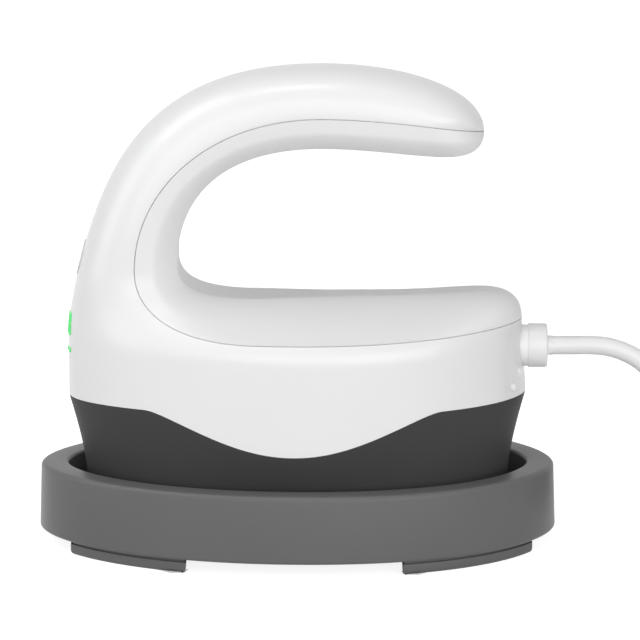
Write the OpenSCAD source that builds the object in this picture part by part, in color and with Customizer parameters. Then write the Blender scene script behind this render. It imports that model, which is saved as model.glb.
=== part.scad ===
// Mini handheld heat press resting in its stand, with its mains lead put away beside it.
// Millimetres. +X points to the rear, where the lead leaves, and -X to the front, which has the
// button. +Z is up, and the origin is on the floor under the middle of the stand.

/* [Press body] */
// Length of the press body
body_l = 117.4; // [112:0.2:122]
// Width of the press body
body_w = 69; // [67:0.5:73]
// Wall of the white shell and of the grip liner
wall = 2.4; // [1.8:0.1:2.8]
// Height of the shell's seam above the sole
seam_h = 50.1; // [48:0.1:56]
// Rise of the seam towards the rear
seam_rise = 1.6; // [0:0.1:2.5]
// How far the rear leans forward from the skirt to the seam
rear_lean = 1.2; // [0:0.1:2]
// Gap that shows as the line between shell and liner
seam_gap = 0.2; // [0.1:0.05:0.4]
// Height of the crest of the palm rest above the seam
crest_h = 6.9; // [5:0.1:9]
// How much the palm rest fills out towards the rear
rear_fill = 0.2; // [0:0.05:1.6]

/* [Skirt] */
// Height of the skirt's upper edge above the sole, at the ends
skirt_h = 32.2; // [31:0.1:34]
// How far the upper edge dips at the middle
wave_drop = 10; // [4:0.5:11]
// Length of the dip
wave_l = 78; // [60:1:90]
// How far the skirt draws in at its foot
skirt_taper = 4.8; // [3.5:0.1:5.5]
// Wall of the skirt
skirt_wall = 2.6; // [2:0.1:3]
// Height of the lip that holds the shell
lip_h = 2.4; // [1.5:0.1:3.5]

/* [Grip] */
// Clear height for the hand, from palm rest to grip
hand_gap = 39.1; // [34:0.1:46]
// Height of the grip's section
grip_t = 20.2; // [17:0.1:24]
// Width of the grip
grip_w = 28; // [24:0.5:33]
// How far the grip's nose reaches to the rear of the middle
grip_reach = 47.6; // [40:0.2:54]
// Height of the grip's seam above its underside
grip_seam = 8.6; // [7:0.1:12]
// Thickness of the upright that joins body and grip, front to back
column_t = 24.9; // [22:0.1:28]
// Width of the upright
column_w = 34; // [30:0.5:40]
// Distance of the upright's seam from its front
column_seam = 14.2; // [12:0.2:16]
// Width of the hollow along the inside of the grip
channel_w = 17; // [10:0.5:20]
// Depth of that hollow
channel_d = 1; // [0:0.1:1.5]

/* [Heat plate] */
// Thickness of the sole
sole_t = 3.5; // [2.5:0.1:5]
// Height of the block that carries the heater
block_t = 4; // [3.5:0.1:5]
// Radius of the heater tube
heater_r = 3.2; // [2.5:0.1:3.4]
// Distance between the two runs of the heater tube
heater_gap = 28; // [22:1:34]
// Thickness of the sealing ring between plate and skirt
gasket_t = 0.9; // [0.5:0.1:1.5]
// Radius of the screws that hold the plate
screw_r = 1.5; // [1.2:0.1:1.8]
// Thickness of the insulating pad
felt_t = 4; // [2:0.5:4.5]
// Thickness of the inner frame
frame_t = 2.2; // [1.6:0.1:3]

/* [Electrics] */
// Length of the control board
board_l = 64; // [56:1:70]
// Width of the control board
board_w = 35; // [30:1:38]
// Thickness of the boards
board_t = 1.6; // [1:0.1:2]
// Height of the board's posts
post_h = 5.8; // [4:0.1:7]
// Radius of the power button
button_r = 4.75; // [4:0.05:5.5]
// Height of the button's middle above the sole
button_h = 66.6; // [64:0.1:68]
// Travel of the button
button_travel = 0.6; // [0.4:0.1:1]

/* [Stand] */
// Room in the tray between its wall and the skirt's foot, at the ends
tray_gap = 4.3; // [3.6:0.1:8]
// The same room at the sides
tray_gap_side = 3.5; // [3:0.1:8]
// Height of the stand's rim above the floor
stand_h = 21.1; // [18:0.1:23]
// Width of the rim
rim_w = 7; // [5.5:0.1:7.5]
// Radius of the rim's outer edge
rim_r = 1.2; // [0.8:0.1:2]
// Outward flare of the wall down to its foot
flare = 0.5; // [0:0.1:1.5]
// Wall of the stand
stand_wall = 2.2; // [1.6:0.1:2.6]
// Thickness of the tray's floor
floor_t = 2.2; // [1.6:0.1:3]
// Height of the feet
foot_h = 3.7; // [2.5:0.1:5]
// Thickness of the heat-proof pad in the tray
pad_t = 1.9; // [1:0.1:3]

/* [Mains lead] */
// Diameter of the lead
cord_d = 4.8; // [4.4:0.1:5]
// Radius of the gland that the lead comes out of
gland_r = 5.65; // [5:0.05:6.5]
// Length of the gland outside the body
gland_l = 7.8; // [6:0.1:11]
// Length of the step at its foot, next to the body
step_l = 1.2; // [0.6:0.1:2]
// Height of the gland above the sole
gland_h = 43.4; // [42.5:0.1:44.5]
// Radius of the vent holes
vent_r = 0.9; // [0.6:0.1:1.2]
// Spacing of the vent holes
vent_pitch = 7.5; // [6:0.5:9]
// Distance from the gland to where the lead lies on the floor
lead_reach = 59.5; // [56:0.5:80]
// Width of the plug
plug_w = 24; // [20:0.5:28]
// Thickness of the plug
plug_t = 14; // [12:0.5:17]
// Length of the plug's body
plug_l = 28; // [22:0.5:34]

/* [Hidden] */

WHITE = [0.93, 0.93, 0.93];
LINER = [0.88, 0.88, 0.88];
DARK = [0.24, 0.24, 0.25];
GREY = [0.42, 0.42, 0.43];
METAL = [0.75, 0.75, 0.77];
BOARD = [0.1, 0.4, 0.25];

clear = 0.1;            // gap between pieces that lift apart or slide
rest = 0.05;            // gap between pieces that lie on each other
round_fn = 48;

// --- Levels -----------------------------------------------------------------
floor_z = foot_h + floor_t;
sole_z = floor_z + pad_t + clear;
sole_top = sole_z + sole_t;
block_top = sole_top + block_t;
skirt_z = sole_top + gasket_t + 2 * rest;
shield_t = 0.8;
shield_z = block_top + heater_r + 1.4;
felt_z = shield_z + shield_t + rest;
frame_z = felt_z + felt_t + rest;
frame_top = frame_z + frame_t;
board_z = frame_top + post_h;
board_top = board_z + board_t;
wave_z = sole_z + skirt_h;
seam_z = sole_z + seam_h;
crest_z = seam_z + crest_h;
under_z = crest_z + hand_gap;
top_z = under_z + grip_t;
grip_seam_z = under_z + grip_seam;
neck_z = crest_z + 9.1;   // where the upright starts to bend over

// --- Plan shape of body and stand: an egg, blunt at the rear -----------------
egg_p = 2.1;
egg_q = 1.8;
egg_k = 0.05;
half_l = body_l / 2;
half_w = body_w / 2;

function raised(v, e) = pow(max(v, 0), e);
function ease(t) = let (u = min(1, max(0, t))) u * u * (3 - 2 * u);
function lerp(a, b, t) = a + (b - a) * t;
function egg_y(u, w) = w * (1 + egg_k * u) * raised(1 - raised(abs(u), egg_p), 1 / egg_q);
// A point of the egg's outline at an angle, drawn in by an inset
function egg(angle, l, w, inset = 0) =
    let (c = cos(angle)) [(l - inset) * c, sign(sin(angle)) * egg_y(c, w - inset)];
module egg_plate(l, w, inset, z, t) {
    translate([0, 0, z]) linear_extrude(t)
        polygon([for (i = [0:71]) egg(i * 5 + 0.01, l, w, inset)]);
}

// --- Meshes -------------------------------------------------------------------
function quad(a, b, c, d) = [[a, b, c], [a, c, d]];
function whole(tris) = [for (t = tris) if (t[0] != t[1] && t[1] != t[2] && t[2] != t[0]) t];
// Faces of a ring of n sections with m points each
function ring_faces(n, m) = [for (i = [0:n - 1], j = [0:m - 1])
    each quad(i * m + j, i * m + (j + 1) % m, ((i + 1) % n) * m + (j + 1) % m,
        ((i + 1) % n) * m + j)];
// A closed band that follows an egg; rows gives [inset, height] pairs for an angle
module egg_band(l, w, rows, n) {
    pts = [for (i = [0:n - 1]) let (a = i * 360 / n) for (r = rows(a))
        let (p = egg(a, l, w, r[0])) [p[0], p[1], r[1]]];
    m = len(pts) / n;
    polyhedron(pts, ring_faces(n, m), convexity = 6);
}
// A solid of egg-shaped sections; profile goes from its underside to its top
module egg_solid(l, w, profile, n = 64) {
    m = len(profile);
    pts = [for (i = [0:n - 1]) let (a = (i + 0.5) * 360 / n) for (r = profile)
        let (p = egg(a, l, w, r[0])) [p[0], p[1], r[1]]];
    sides = [for (i = [0:n - 1], j = [0:m - 2])
        each quad(i * m + j, i * m + j + 1, ((i + 1) % n) * m + j + 1, ((i + 1) % n) * m + j)];
    under = [[for (i = [0:n - 1]) i * m]];
    over = [[for (i = [0:n - 1]) (n - 1 - i) * m + m - 1]];
    polyhedron(pts, concat(sides, under, over), convexity = 6);
}
// A tube along a route of points, with its ends square to the route
function unit(v) = v / norm(v);
function route_tangent(p, i) = unit(p[min(i + 1, len(p) - 1)] - p[max(i - 1, 0)]);
module tube(p, r, sides) {
    n = len(p);
    pts = [for (i = [0:n - 1])
        let (t = route_tangent(p, i), b = unit([-t[1], t[0], 0]), c = cross(t, b))
        for (k = [0:sides - 1]) let (a = k * 360 / sides)
            p[i] + r * (b * cos(a) + c * sin(a))];
    side = [for (i = [0:n - 2], k = [0:sides - 1])
        each quad(i * sides + k, (i + 1) * sides + k, (i + 1) * sides + (k + 1) % sides,
            i * sides + (k + 1) % sides)];
    first = [[for (k = [0:sides - 1]) k]];
    last = [[for (k = [0:sides - 1]) n * sides - 1 - k]];
    polyhedron(pts, concat(side, first, last), convexity = 10);
}

// --- The curves of shell and liner, seen from the side ------------------------
// The front leans back above the seam
lean_z = seam_z - 4;
lean = 0.0272;
function front_x(z) = -half_l + lean * raised(z - lean_z, 1.6);
function rear_x(z) = half_l - rear_lean * min(1, max(0, (z - wave_z) / (seam_z - wave_z)));
neck_out = [front_x(neck_z), neck_z];
neck_seam = [neck_out[0] + column_seam, neck_z];
neck_in = [neck_out[0] + column_t, neck_z];
crown_x = 6;            // where the bend has become the straight grip
corner_x = -10;         // where the palm rest turns up into the upright
nose = [grip_reach, grip_seam_z - 5];

function bezier(c, t) = let (s = 1 - t)
    s * s * s * c[0] + 3 * s * s * t * c[1] + 3 * s * t * t * c[2] + t * t * t * c[3];
function bend(a, slope, b, up, back) = [a, a + [slope * up * (b[1] - a[1]), up * (b[1] - a[1])],
    b - [back * (b[0] - a[0]), 0], b];
out_bend = bend(neck_out, 0.26, [crown_x, top_z], 0.52, 0.69);
seam_bend = bend(neck_seam, 0, [crown_x, grip_seam_z], 0.54, 0.6);
in_bend = bend(neck_in, 0, [crown_x, under_z], 0.55, 0.72);
out_nose = [[crown_x, top_z], [crown_x + 26, top_z], nose + [0, 8], nose];
seam_nose = [[crown_x, grip_seam_z], [crown_x + 12, grip_seam_z], nose + [-5, 2.5], nose];
in_nose = [[crown_x, under_z], [crown_x + 22, under_z], nose + [-0.5, -10.2], nose];
seam_corner = [[corner_x, seam_z], [corner_x - 23, seam_z],
    [neck_seam[0], neck_z - 9.5], neck_seam];
in_corner = [[corner_x, crest_z], [corner_x - 14, crest_z], [neck_in[0], neck_z - 6.5], neck_in];

// Stations along the seam: palm rest, corner, bend, nose
foot_step = 6;          // degrees between stations along the shell's foot
n_rest = 21;
n_corner = 14;
n_bend = 14;
n_nose = 12;
s_corner = n_rest;
s_front = 180 / foot_step;  // the station that ends at the foot of the front
s_neck = n_rest + n_corner;
s_crown = s_neck + n_bend;
s_nose = s_crown + n_nose;
rest_angle = acos(corner_x / half_l);
function nose_t(i) = 1 - raised(1 - (i - s_crown) / n_nose, 1.6);
function wave(x) = wave_z - 1.5 * pow(abs(x) / half_l, 4)
    - wave_drop * (0.5 + 0.5 * cos(180 * min(1, abs(x) / (wave_l / 2))));

// The seam, with the inner face of the wall at its inset
function seam_at(i, inset) =
    i <= s_corner ? let (x = cos(rest_angle * i / n_rest))
        [(x > 0 ? rear_x(seam_z) - inset : half_l - inset) * x,
            seam_z + seam_rise * pow(max(0, x), 2)]
    : i <= s_neck ? bezier(seam_corner, (i - s_corner) / n_corner)
    : i <= s_crown ? bezier(seam_bend, (i - s_neck) / n_bend)
    : bezier(seam_nose, nose_t(i)) - [inset * pow(nose_t(i), 4), 0];
function shrunk(v, inset) = let (l = norm(v)) l < 0.001 ? v : v * max(l - inset, l / 2) / l;
// The outermost point of the shell's section
function out_at(i, inset) =
    i <= s_front ? [egg(i * foot_step, half_l, half_w, inset)[0], wave(half_l * cos(i * foot_step))]
    : i <= s_neck ? let (z = lerp(wave(half_l), neck_z, (i - s_front) / (s_neck - s_front)))
        [front_x(z) + inset, z]
    : let (p = i <= s_crown ? bezier(out_bend, (i - s_neck) / n_bend)
        : bezier(out_nose, nose_t(i)), s = seam_at(i, 0))
        seam_at(i, inset) + shrunk(p - s, inset);
// The crest of the liner's section
function in_at(i, inset) =
    let (s = seam_at(i, 0), u = max(0, s[0] / rear_x(seam_z)), p = i <= s_corner
        ? s + [0, (crest_h + rear_fill * ease((u - 0.45) / 0.4)) * sqrt(max(0, 1 - pow(u, 14)))]
        : i <= s_neck ? bezier(in_corner, (i - s_corner) / n_corner)
        : i <= s_crown ? bezier(in_bend, (i - s_neck) / n_bend)
        : bezier(in_nose, nose_t(i)))
    seam_at(i, inset) + shrunk(p - s, inset);

// Half width of upright and grip
nose_l = 15;            // length over which the nose closes
function grip_half(i) =
    let (x = seam_at(i, 0)[0], t = i <= s_neck ? 0 : ease((i - s_neck) / n_bend))
    lerp(column_w, grip_w, t) / 2
        * (i <= s_crown ? 1 : sqrt(max(0, 1 - pow(max(0, (x - nose[0] + nose_l) / nose_l), 2.2))));
// Half width of the body at a place seen from the side
function body_half(x, z, inset) =
    let (l = x < 0 ? -front_x(z) : rear_x(z)) egg_y(x / (l - inset), half_w - inset);
// The body's plan turns into the upright's between these heights
function turned(z) = ease((z - lean_z) / (neck_z - lean_z));
function less(v, inset) = max(v - inset, v / 2);
function side_y(i, p, share, inset) =
    let (t = turned(p[1]), a = i < s_crown && t < 1 ? body_half(p[0], p[1], inset) : 0)
    lerp(a, less(grip_half(i), inset) * share, i < s_neck ? t : 1);

section_e = 0.8;        // how square the sections are
rear_e = 0.95;          // the palm rest is round at the rear
rest_e = 1.8;           // its flanks are nearly flat further on
hold_e = 1.1;           // upright and grip are round on the inside
function shell_point(i, j, m, side, inset) =
    let (a = 90 * j / m, s = seam_at(i, inset), o = out_at(i, inset),
        g = norm(o - s) < 0.01 ? [0, 0] : seam_gap / 2 * unit(o - s),
        p = lerp(s + g, o, raised(sin(a), section_e)),
        y = i == 0 ? 0 : side_y(i, p, raised(cos(a), section_e), inset))
    [p[0], side * y, p[1]];

// Width of the hollow along the liner, which runs out on the palm rest
hollow_to = 43;
rest_share = 0.8;       // it is narrower on the palm rest
function hollow(i, y) = let (x = seam_at(i, 0)[0], share = i > s_corner
        ? lerp(rest_share, 1, ease((i - s_corner) / n_corner))
        : rest_share * raised((hollow_to - x) / (hollow_to - corner_x), 1.3))
    max(y * 0.12, min(y * 0.6, share * channel_w / 2));
function liner_point(i, j, m, side, inset) =
    let (n = m - 3, s = seam_at(i, inset), c = in_at(i, inset),
        g = norm(c - s) < 0.01 ? [0, 0] : seam_gap / 2 * unit(c - s),
        y0 = side_y(i, seam_at(i, inset), 1, inset), w = hollow(i, y0),
        deep = channel_d * w / (channel_w / 2),
        a = 90 * min(1, j / n), e = i <= s_corner ? lerp(rear_e, rest_e, ease((i - 4) / 10))
            : lerp(rest_e, hold_e, ease((i - s_corner) / n_corner)),
        y = j <= n ? lerp(w, y0, raised(cos(a), e)) : w * (1 - (j - n) / 3),
        fall = j <= n ? 0 : deep * (1 - pow(y / w, 2)),
        p = lerp(s + g, c, raised(sin(a), e)),
        q = norm(c - s) < 0.01 ? p : p - fall * unit(c - s))
    [q[0], side * y, q[1]];

// Two skins and the rims between them. m is the number of steps across each skin.
m_out = 9;
m_in = 5;
skin = (s_nose + 1) * 2;
function shell_id(l, i, s, j) = let (m = l == 0 ? m_out : m_in,
        k = i == s_nose ? 0 : j, t = i == 0 || i == s_nose || (i >= s_front && j == m) ? 0 : s)
    l * skin * (m_out + 1) + (i * 2 + t) * (m + 1) + k;
function liner_id(l, i, s, j) = let (m = l == 0 ? m_out : m_in,
        tip = i == 0 || i == s_nose, k = tip ? 0 : j, t = tip || j == m ? 0 : s)
    l * skin * (m_out + 1) + (i * 2 + t) * (m + 1) + k;
function turn(q, back) = back ? [for (t = q) [t[2], t[1], t[0]]] : q;
function skins(id) = [for (l = [0, 1], s = [0, 1], i = [0:s_nose - 1],
        j = [0:(l == 0 ? m_out : m_in) - 1])
    each turn(quad(id(l, i, s, j), id(l, i + 1, s, j), id(l, i + 1, s, j + 1),
        id(l, i, s, j + 1)), l != s)];
function seam_rim(id) = [for (s = [0, 1], i = [0:s_nose - 1])
    each turn(quad(id(1, i, s, 0), id(1, i + 1, s, 0), id(0, i + 1, s, 0), id(0, i, s, 0)),
        s == 1)];
function foot_rim(id) = [for (s = [0, 1], i = [0:s_front - 1])
    each turn(quad(id(0, i, s, m_out), id(0, i + 1, s, m_out), id(1, i + 1, s, m_in),
        id(1, i, s, m_in)), s == 1)];

// --- Placement of what is inside ----------------------------------------------
boss_x = 24;
boss_y = 6.5;
boss_r = 3.5;
post_x = board_l / 2 - 4;
post_y = board_w / 2 - 4;
post_r = 2.6;
board_screw_r = 1.1;
board_x = 2;            // middle of the control board
terminal_x = board_x + board_l / 2 - 12;
switch_t = 2.5;
plunger_h = 0.4;
button_in = 0.5;        // how far the button stands out inside the wall
// Front face of the display board, behind the switch and the room for the button's travel
panel_x = front_x(sole_z + button_h) + wall + button_in + button_travel + 0.2 + plunger_h
    + switch_t;
bracket_t = 2;
gland_z = sole_z + gland_h;
gland_seat = half_l - 2.4;
gland_neck_r = gland_r - 1.6;
button_tilt = 8;        // the front leans back here
button_at = [front_x(sole_z + button_h), 0, sole_z + button_h];
clamp_x = half_l - 14.7;
clamp_y = 7;
function corners(x, y) = [for (i = [-1, 1], j = [-1, 1]) [i * x, j * y]];

// --- Stand ----------------------------------------------------------------------
tray_lean = 0.8;        // the tray's wall leans in by this much
stand_half_l = half_l - skirt_taper + tray_gap + tray_lean + rim_w;
stand_half_w = half_w - skirt_taper + tray_gap_side + tray_lean + rim_w;

// The wall is folded over into the rim and down into the tray, open underneath
module stand_tray() {
    z0 = foot_h;
    cove = 1.2;
    in = rim_w + tray_lean;
    rows = concat(
        [[rim_w + stand_wall + 1.5, z0]],
        [[in - stand_wall, z0], [rim_w - stand_wall, z0 + 3],
            [rim_w - stand_wall, stand_h - stand_wall - 1], [stand_wall + 1, stand_h - stand_wall],
            [stand_wall, stand_h - stand_wall - 1], [stand_wall - flare, z0], [0.8 - flare, z0],
            [-flare, z0 + 0.8], [-flare * 0.5, (z0 + stand_h) / 2], [0, stand_h - rim_r]],
        [for (a = [30:30:90]) [rim_r * (1 - cos(a)), stand_h - rim_r * (1 - sin(a))]],
        [[rim_w - 0.8, stand_h], [rim_w - 0.2, stand_h - 0.2], [rim_w, stand_h - 0.8],
            [in, floor_z + cove], [in + cove, floor_z]]);
    color(GREY) egg_solid(stand_half_l, stand_half_w, rows);
}
// A foot follows the wall of one side between two places along the stand
foot_w = 11;
foot_in = 1.2;
foot_y = 10;            // how near a foot comes to the middle
foot_front = [-58, -28.1];
foot_rear = [26.6, 60.2];
module egg_sheet(inset)
    polygon([for (i = [0:71]) egg(i * 5 + 0.01, stand_half_l, stand_half_w, inset)]);
module foot(x, side) {
    edge = 0.6;
    module outline() offset(r = 1, $fn = 16) offset(delta = -1) intersection() {
        difference() {
            egg_sheet(foot_in);
            egg_sheet(foot_in + foot_w);
        }
        translate([x[0], side < 0 ? -stand_half_w : foot_y])
            square([x[1] - x[0], stand_half_w - foot_y]);
    }
    translate([0, 0, edge]) linear_extrude(foot_h - edge) outline();
    linear_extrude(edge) offset(delta = -edge / 2) outline();
}
module foot_front_left() color(DARK) foot(foot_front, -1);
module foot_front_right() color(DARK) foot(foot_front, 1);
module foot_rear_left() color(DARK) foot(foot_rear, -1);
module foot_rear_right() color(DARK) foot(foot_rear, 1);
module tray_pad() color(DARK)
    egg_plate(stand_half_l, stand_half_w, rim_w + 2.4, floor_z, pad_t);

// --- Housing --------------------------------------------------------------------
module outer_shell() color(WHITE) difference() {
    polyhedron([for (l = [0, 1], i = [0:s_nose], s = [-1, 1], j = [0:l == 0 ? m_out : m_in])
        shell_point(i, j, l == 0 ? m_out : m_in, s, l * wall)],
        whole(concat(skins(shell_id_of), seam_rim(shell_id_of), foot_rim(shell_id_of))),
        convexity = 10);
    button_axis() translate([0, 0, -8]) cylinder(h = 12, r = button_r + clear, $fn = round_fn);
    along_x(half_l - 6, gland_neck_r + clear, 10);
    along_x(gland_seat, gland_r + clear, 6);
    for (y = [-1, 0, 1]) vent(y * vent_pitch, gland_z - 4.3 - vent_r);
    for (y = [-1.5, -0.5, 0.5, 1.5]) vent(y * vent_pitch, gland_z - 7.5 - vent_r);
}
shell_id_of = function(l, i, s, j) shell_id(l, i, s, j);
liner_id_of = function(l, i, s, j) liner_id(l, i, s, j);
module vent(y, z) translate([half_l - 12, y, z]) rotate([0, 90, 0])
    cylinder(h = 14, r = vent_r, $fn = 16);
module button_axis() translate(button_at) rotate([0, button_tilt - 90, 0]) children();

module grip_liner() color(LINER)
    polyhedron([for (l = [0, 1], i = [0:s_nose], s = [-1, 1], j = [0:l == 0 ? m_out : m_in])
        liner_point(i, j, l == 0 ? m_out : m_in, s, l * wall)],
        whole(concat(skins(liner_id_of), seam_rim(liner_id_of))), convexity = 10);

// Inset of the skirt's face at a height, on a line whose upper edge is at top
function skirt_in(z, top) = skirt_taper * sin(90 * max(0, (top - z) / (top - skirt_z)));
ledge = 3;
module base_skirt() color(DARK) {
    in = wall + 2 * clear;
    rows = function(a) let (top = wave(half_l * cos(a)) - rest, z1 = frame_z - rest,
            w = skirt_in(z1, top) + skirt_wall)
        concat([[skirt_taper + 0.8, skirt_z], [skirt_taper, skirt_z + 0.8]],
            [for (t = [0.25, 0.5, 0.75, 1]) let (z = lerp(skirt_z, top, t)) [skirt_in(z, top), z]],
            [[in, top], [in, top + lip_h], [in + 1, top + lip_h], [in + 1.2, top - 1],
                [w, z1 + 0.5], [w, z1], [w + ledge, z1], [w + ledge, z1 - 2],
                [skirt_taper + skirt_wall, z1 - 4.5], [skirt_taper + skirt_wall, skirt_z]]);
    egg_band(half_l, half_w, rows, 360 / foot_step);
}

// --- Heat plate and what lies on it ------------------------------------------------
plate_in = skirt_taper + 0.5;
heater_x0 = -24;
heater_x1 = 36;
module heater_path(r, over = 0) {
    for (s = [-1, 1]) translate([heater_x0, s * heater_gap / 2, block_top]) rotate([0, 90, 0])
        cylinder(h = heater_x1 - heater_x0 + over, r = r, $fn = round_fn);
    translate([heater_x0, 0, block_top]) rotate([0, 0, 90]) rotate_extrude(angle = 180, $fn = round_fn)
        translate([heater_gap / 2, 0]) circle(r, $fn = 32);
}
module heat_plate() color(METAL) difference() {
    union() {
        egg_solid(half_l, half_w, [[plate_in + 1.2, sole_z], [plate_in + 0.4, sole_z + 0.35],
            [plate_in, sole_z + 1.2], [plate_in, sole_top]]);
        egg_plate(half_l, half_w, plate_in + 5.2, sole_top - 0.5, block_t + 0.5);
        for (p = corners(boss_x, boss_y)) translate([p[0], p[1], sole_top])
            cylinder(h = shield_z - rest - sole_top, r = boss_r, $fn = round_fn);
    }
    heater_path(heater_r + rest, 12);
    for (p = corners(boss_x, boss_y)) translate([p[0], p[1], sole_top + 1])
        cylinder(h = 30, r = screw_r + clear, $fn = round_fn);
}
module plate_gasket() color(DARK) difference() {
    egg_plate(half_l, half_w, plate_in + 0.6, sole_top + rest, gasket_t);
    egg_plate(half_l, half_w, plate_in + 4, sole_top - 1, gasket_t + 3);
}
module heater_tube() color(METAL) {
    heater_path(heater_r);
    for (s = [-1, 1]) translate([heater_x1, s * heater_gap / 2, block_top]) rotate([0, 90, 0])
        cylinder(h = 5, r = 1, $fn = 24);
}
module temp_sensor() color(METAL) translate([-6, -2.5, block_top]) cube([8, 5, 3]);
module thermal_fuse() color(METAL) translate([7, 0, block_top + 2]) rotate([0, 90, 0])
    cylinder(h = 11, r = 2, $fn = 32);
module drilled(z, t, r) difference() {
    children();
    for (p = corners(boss_x, boss_y)) translate([p[0], p[1], z - 1])
        cylinder(h = t + 2, r = r, $fn = round_fn);
}
module heat_shield() color(METAL) drilled(shield_z, shield_t, screw_r + clear)
    egg_plate(half_l, half_w, plate_in + 6, shield_z, shield_t);
module insulation_pad() color([0.9, 0.88, 0.8]) drilled(felt_z, felt_t, screw_r + 4 * clear)
    egg_plate(half_l, half_w, plate_in + 6.5, felt_z, felt_t);
module inner_frame() color([0.3, 0.3, 0.3]) difference() {
    union() {
        egg_plate(half_l, half_w, skirt_taper + skirt_wall + 0.4, frame_z, frame_t);
        for (p = corners(post_x, post_y)) translate([board_x + p[0], p[1], frame_top])
            cylinder(h = post_h, r = post_r, $fn = round_fn);
        translate([panel_x + board_t, -8, frame_top - 0.5])
            cube([bracket_t, 16, button_at[2] + 6 - frame_top]);
        for (s = [-1, 1]) translate([clamp_x, s * clamp_y, frame_top])
            cylinder(h = gland_z - cord_d / 2 - frame_top, r = 2.6, $fn = round_fn);
    }
    for (p = corners(boss_x, boss_y)) translate([p[0], p[1], frame_z - 1])
        cylinder(h = frame_t + 2, r = screw_r + clear, $fn = round_fn);
    for (p = corners(post_x, post_y)) translate([board_x + p[0], p[1], frame_top + 0.5])
        cylinder(h = 20, r = board_screw_r + rest, $fn = round_fn);
    for (s = [-1, 1]) translate([clamp_x, s * clamp_y, gland_z - 8])
        cylinder(h = 20, r = board_screw_r + rest, $fn = round_fn);
}
// A screw standing on its head's underside at z, its shank going down by l
module screw(r, l) {
    cylinder(h = 1.3 * r, r = 1.85 * r, $fn = round_fn);
    translate([0, 0, -l]) cylinder(h = l + 0.2, r = r, $fn = round_fn);
}
module plate_screws() color(METAL) for (p = corners(boss_x, boss_y))
    translate([p[0], p[1], frame_top]) screw(screw_r, frame_top - sole_top - 2);
module board_screws() color(METAL) for (p = corners(post_x, post_y))
    translate([board_x + p[0], p[1], board_top]) screw(board_screw_r, post_h);

// --- Electrics ------------------------------------------------------------------
module control_board() color(BOARD) difference() {
    translate([board_x - board_l / 2, -board_w / 2, board_z]) cube([board_l, board_w, board_t]);
    for (p = corners(post_x, post_y)) translate([board_x + p[0], p[1], board_z - 1])
        cylinder(h = board_t + 2, r = board_screw_r + clear, $fn = round_fn);
}
module relay() color([0.1, 0.2, 0.5]) translate([-20, -7.5, board_top]) cube([19, 15, 13]);
module supply_block() color([0.7, 0.6, 0.2]) translate([4, -11, board_top]) cube([15, 12, 12]);
module filter_capacitor() color([0.15, 0.15, 0.3]) translate([9, 8, board_top])
    cylinder(h = 13, r = 4.5, $fn = round_fn);
module terminal_block() color([0.2, 0.5, 0.3]) difference() {
    translate([terminal_x, -6, board_top]) cube([8, 12, 9]);
    for (s = [-1, 1]) translate([terminal_x + 4, 3 * s, board_top + 3])
        cylinder(h = 10, r = 1.5, $fn = 24);
}
module display_board() color(BOARD)
    translate([panel_x, -9, wave_z + 2]) cube([board_t, 18, button_at[2] + 6 - wave_z - 2]);
display_z = sole_z + 48;
module display_module() color([0.9, 0.9, 0.85])
    translate([front_x(display_z) + wall + 2.6, -6.5, display_z - 7.5])
        cube([panel_x - front_x(display_z) - wall - 2.6, 13, 15]);
module button_switch() color([0.1, 0.1, 0.1]) {
    translate([panel_x - switch_t, -3, button_at[2] - 3]) cube([switch_t, 6, 6]);
    translate([panel_x - switch_t, 0, button_at[2]]) rotate([0, -90, 0])
        cylinder(h = plunger_h, r = 1.2, $fn = 24);
}
module power_button() color(WHITE) button_axis() {
    translate([0, 0, -wall - button_in])
        cylinder(h = wall + button_in + 0.2, r = button_r, $fn = round_fn);
}

// --- Lead -----------------------------------------------------------------------
gland_end = gland_seat + gland_l;
collar_l = 1.6;
module along_x(x, r, l) translate([x, 0, gland_z]) rotate([0, 90, 0])
    cylinder(h = l, r = r, $fn = round_fn);
module cord_gland() color(WHITE) {
    along_x(gland_seat, gland_r - 0.3, gland_l - 1);
    along_x(rear_x(gland_z) + step_l, gland_r, gland_end - rear_x(gland_z) - step_l);
    along_x(gland_end - 0.1, cord_d / 2 + 0.1, collar_l + 0.1);
    along_x(half_l - 5, gland_neck_r, 5);
    along_x(half_l - 8, gland_r - 0.4, 3.3);
}
module inner_lead() color(WHITE) along_x(clamp_x - 6, cord_d / 2, half_l - 8 - clamp_x + 6);
module cord_clamp() color(DARK) difference() {
    translate([clamp_x - 3, -clamp_y - 3.2, gland_z - cord_d / 2])
        cube([6, 2 * clamp_y + 6.4, cord_d + 2]);
    along_x(clamp_x - 8, cord_d / 2 + rest, 16);
    translate([clamp_x - 4, -cord_d / 2 - rest, gland_z - cord_d]) cube([8, cord_d + 2 * rest, cord_d]);
    for (s = [-1, 1]) translate([clamp_x, s * clamp_y, gland_z - 10])
        cylinder(h = 20, r = board_screw_r + clear, $fn = round_fn);
}
module clamp_screws() color(METAL) for (s = [-1, 1])
    translate([clamp_x, s * clamp_y, gland_z + cord_d / 2 + 2]) screw(board_screw_r, 12);

// The lead's way from the gland down to the floor, and on to the coil
run_z = gland_z;
lay_z = cord_d / 2 + 0.7;   // the coil lies on its tie
lead_from = gland_end + collar_l;
// Shares of the way back and of the drop
run_shape = [[0, 0], [0.08, 0], [0.165, 0], [0.24, 0.01], [0.315, 0.041], [0.38, 0.089],
    [0.435, 0.156], [0.477, 0.234], [0.506, 0.324], [0.545, 0.5], [0.583, 0.676], [0.612, 0.766],
    [0.654, 0.844], [0.709, 0.911], [0.775, 0.958], [0.849, 0.99]];
run_route = concat([for (p = run_shape)
        [lead_from + p[0] * lead_reach, 0, lerp(run_z, lay_z, p[1])]],
    [[lead_from + lead_reach - cord_d, 0, lay_z], [lead_from + lead_reach, 0, lay_z]]);
module cord_run() color(WHITE) tube(run_route, cord_d / 2, 8);

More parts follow.
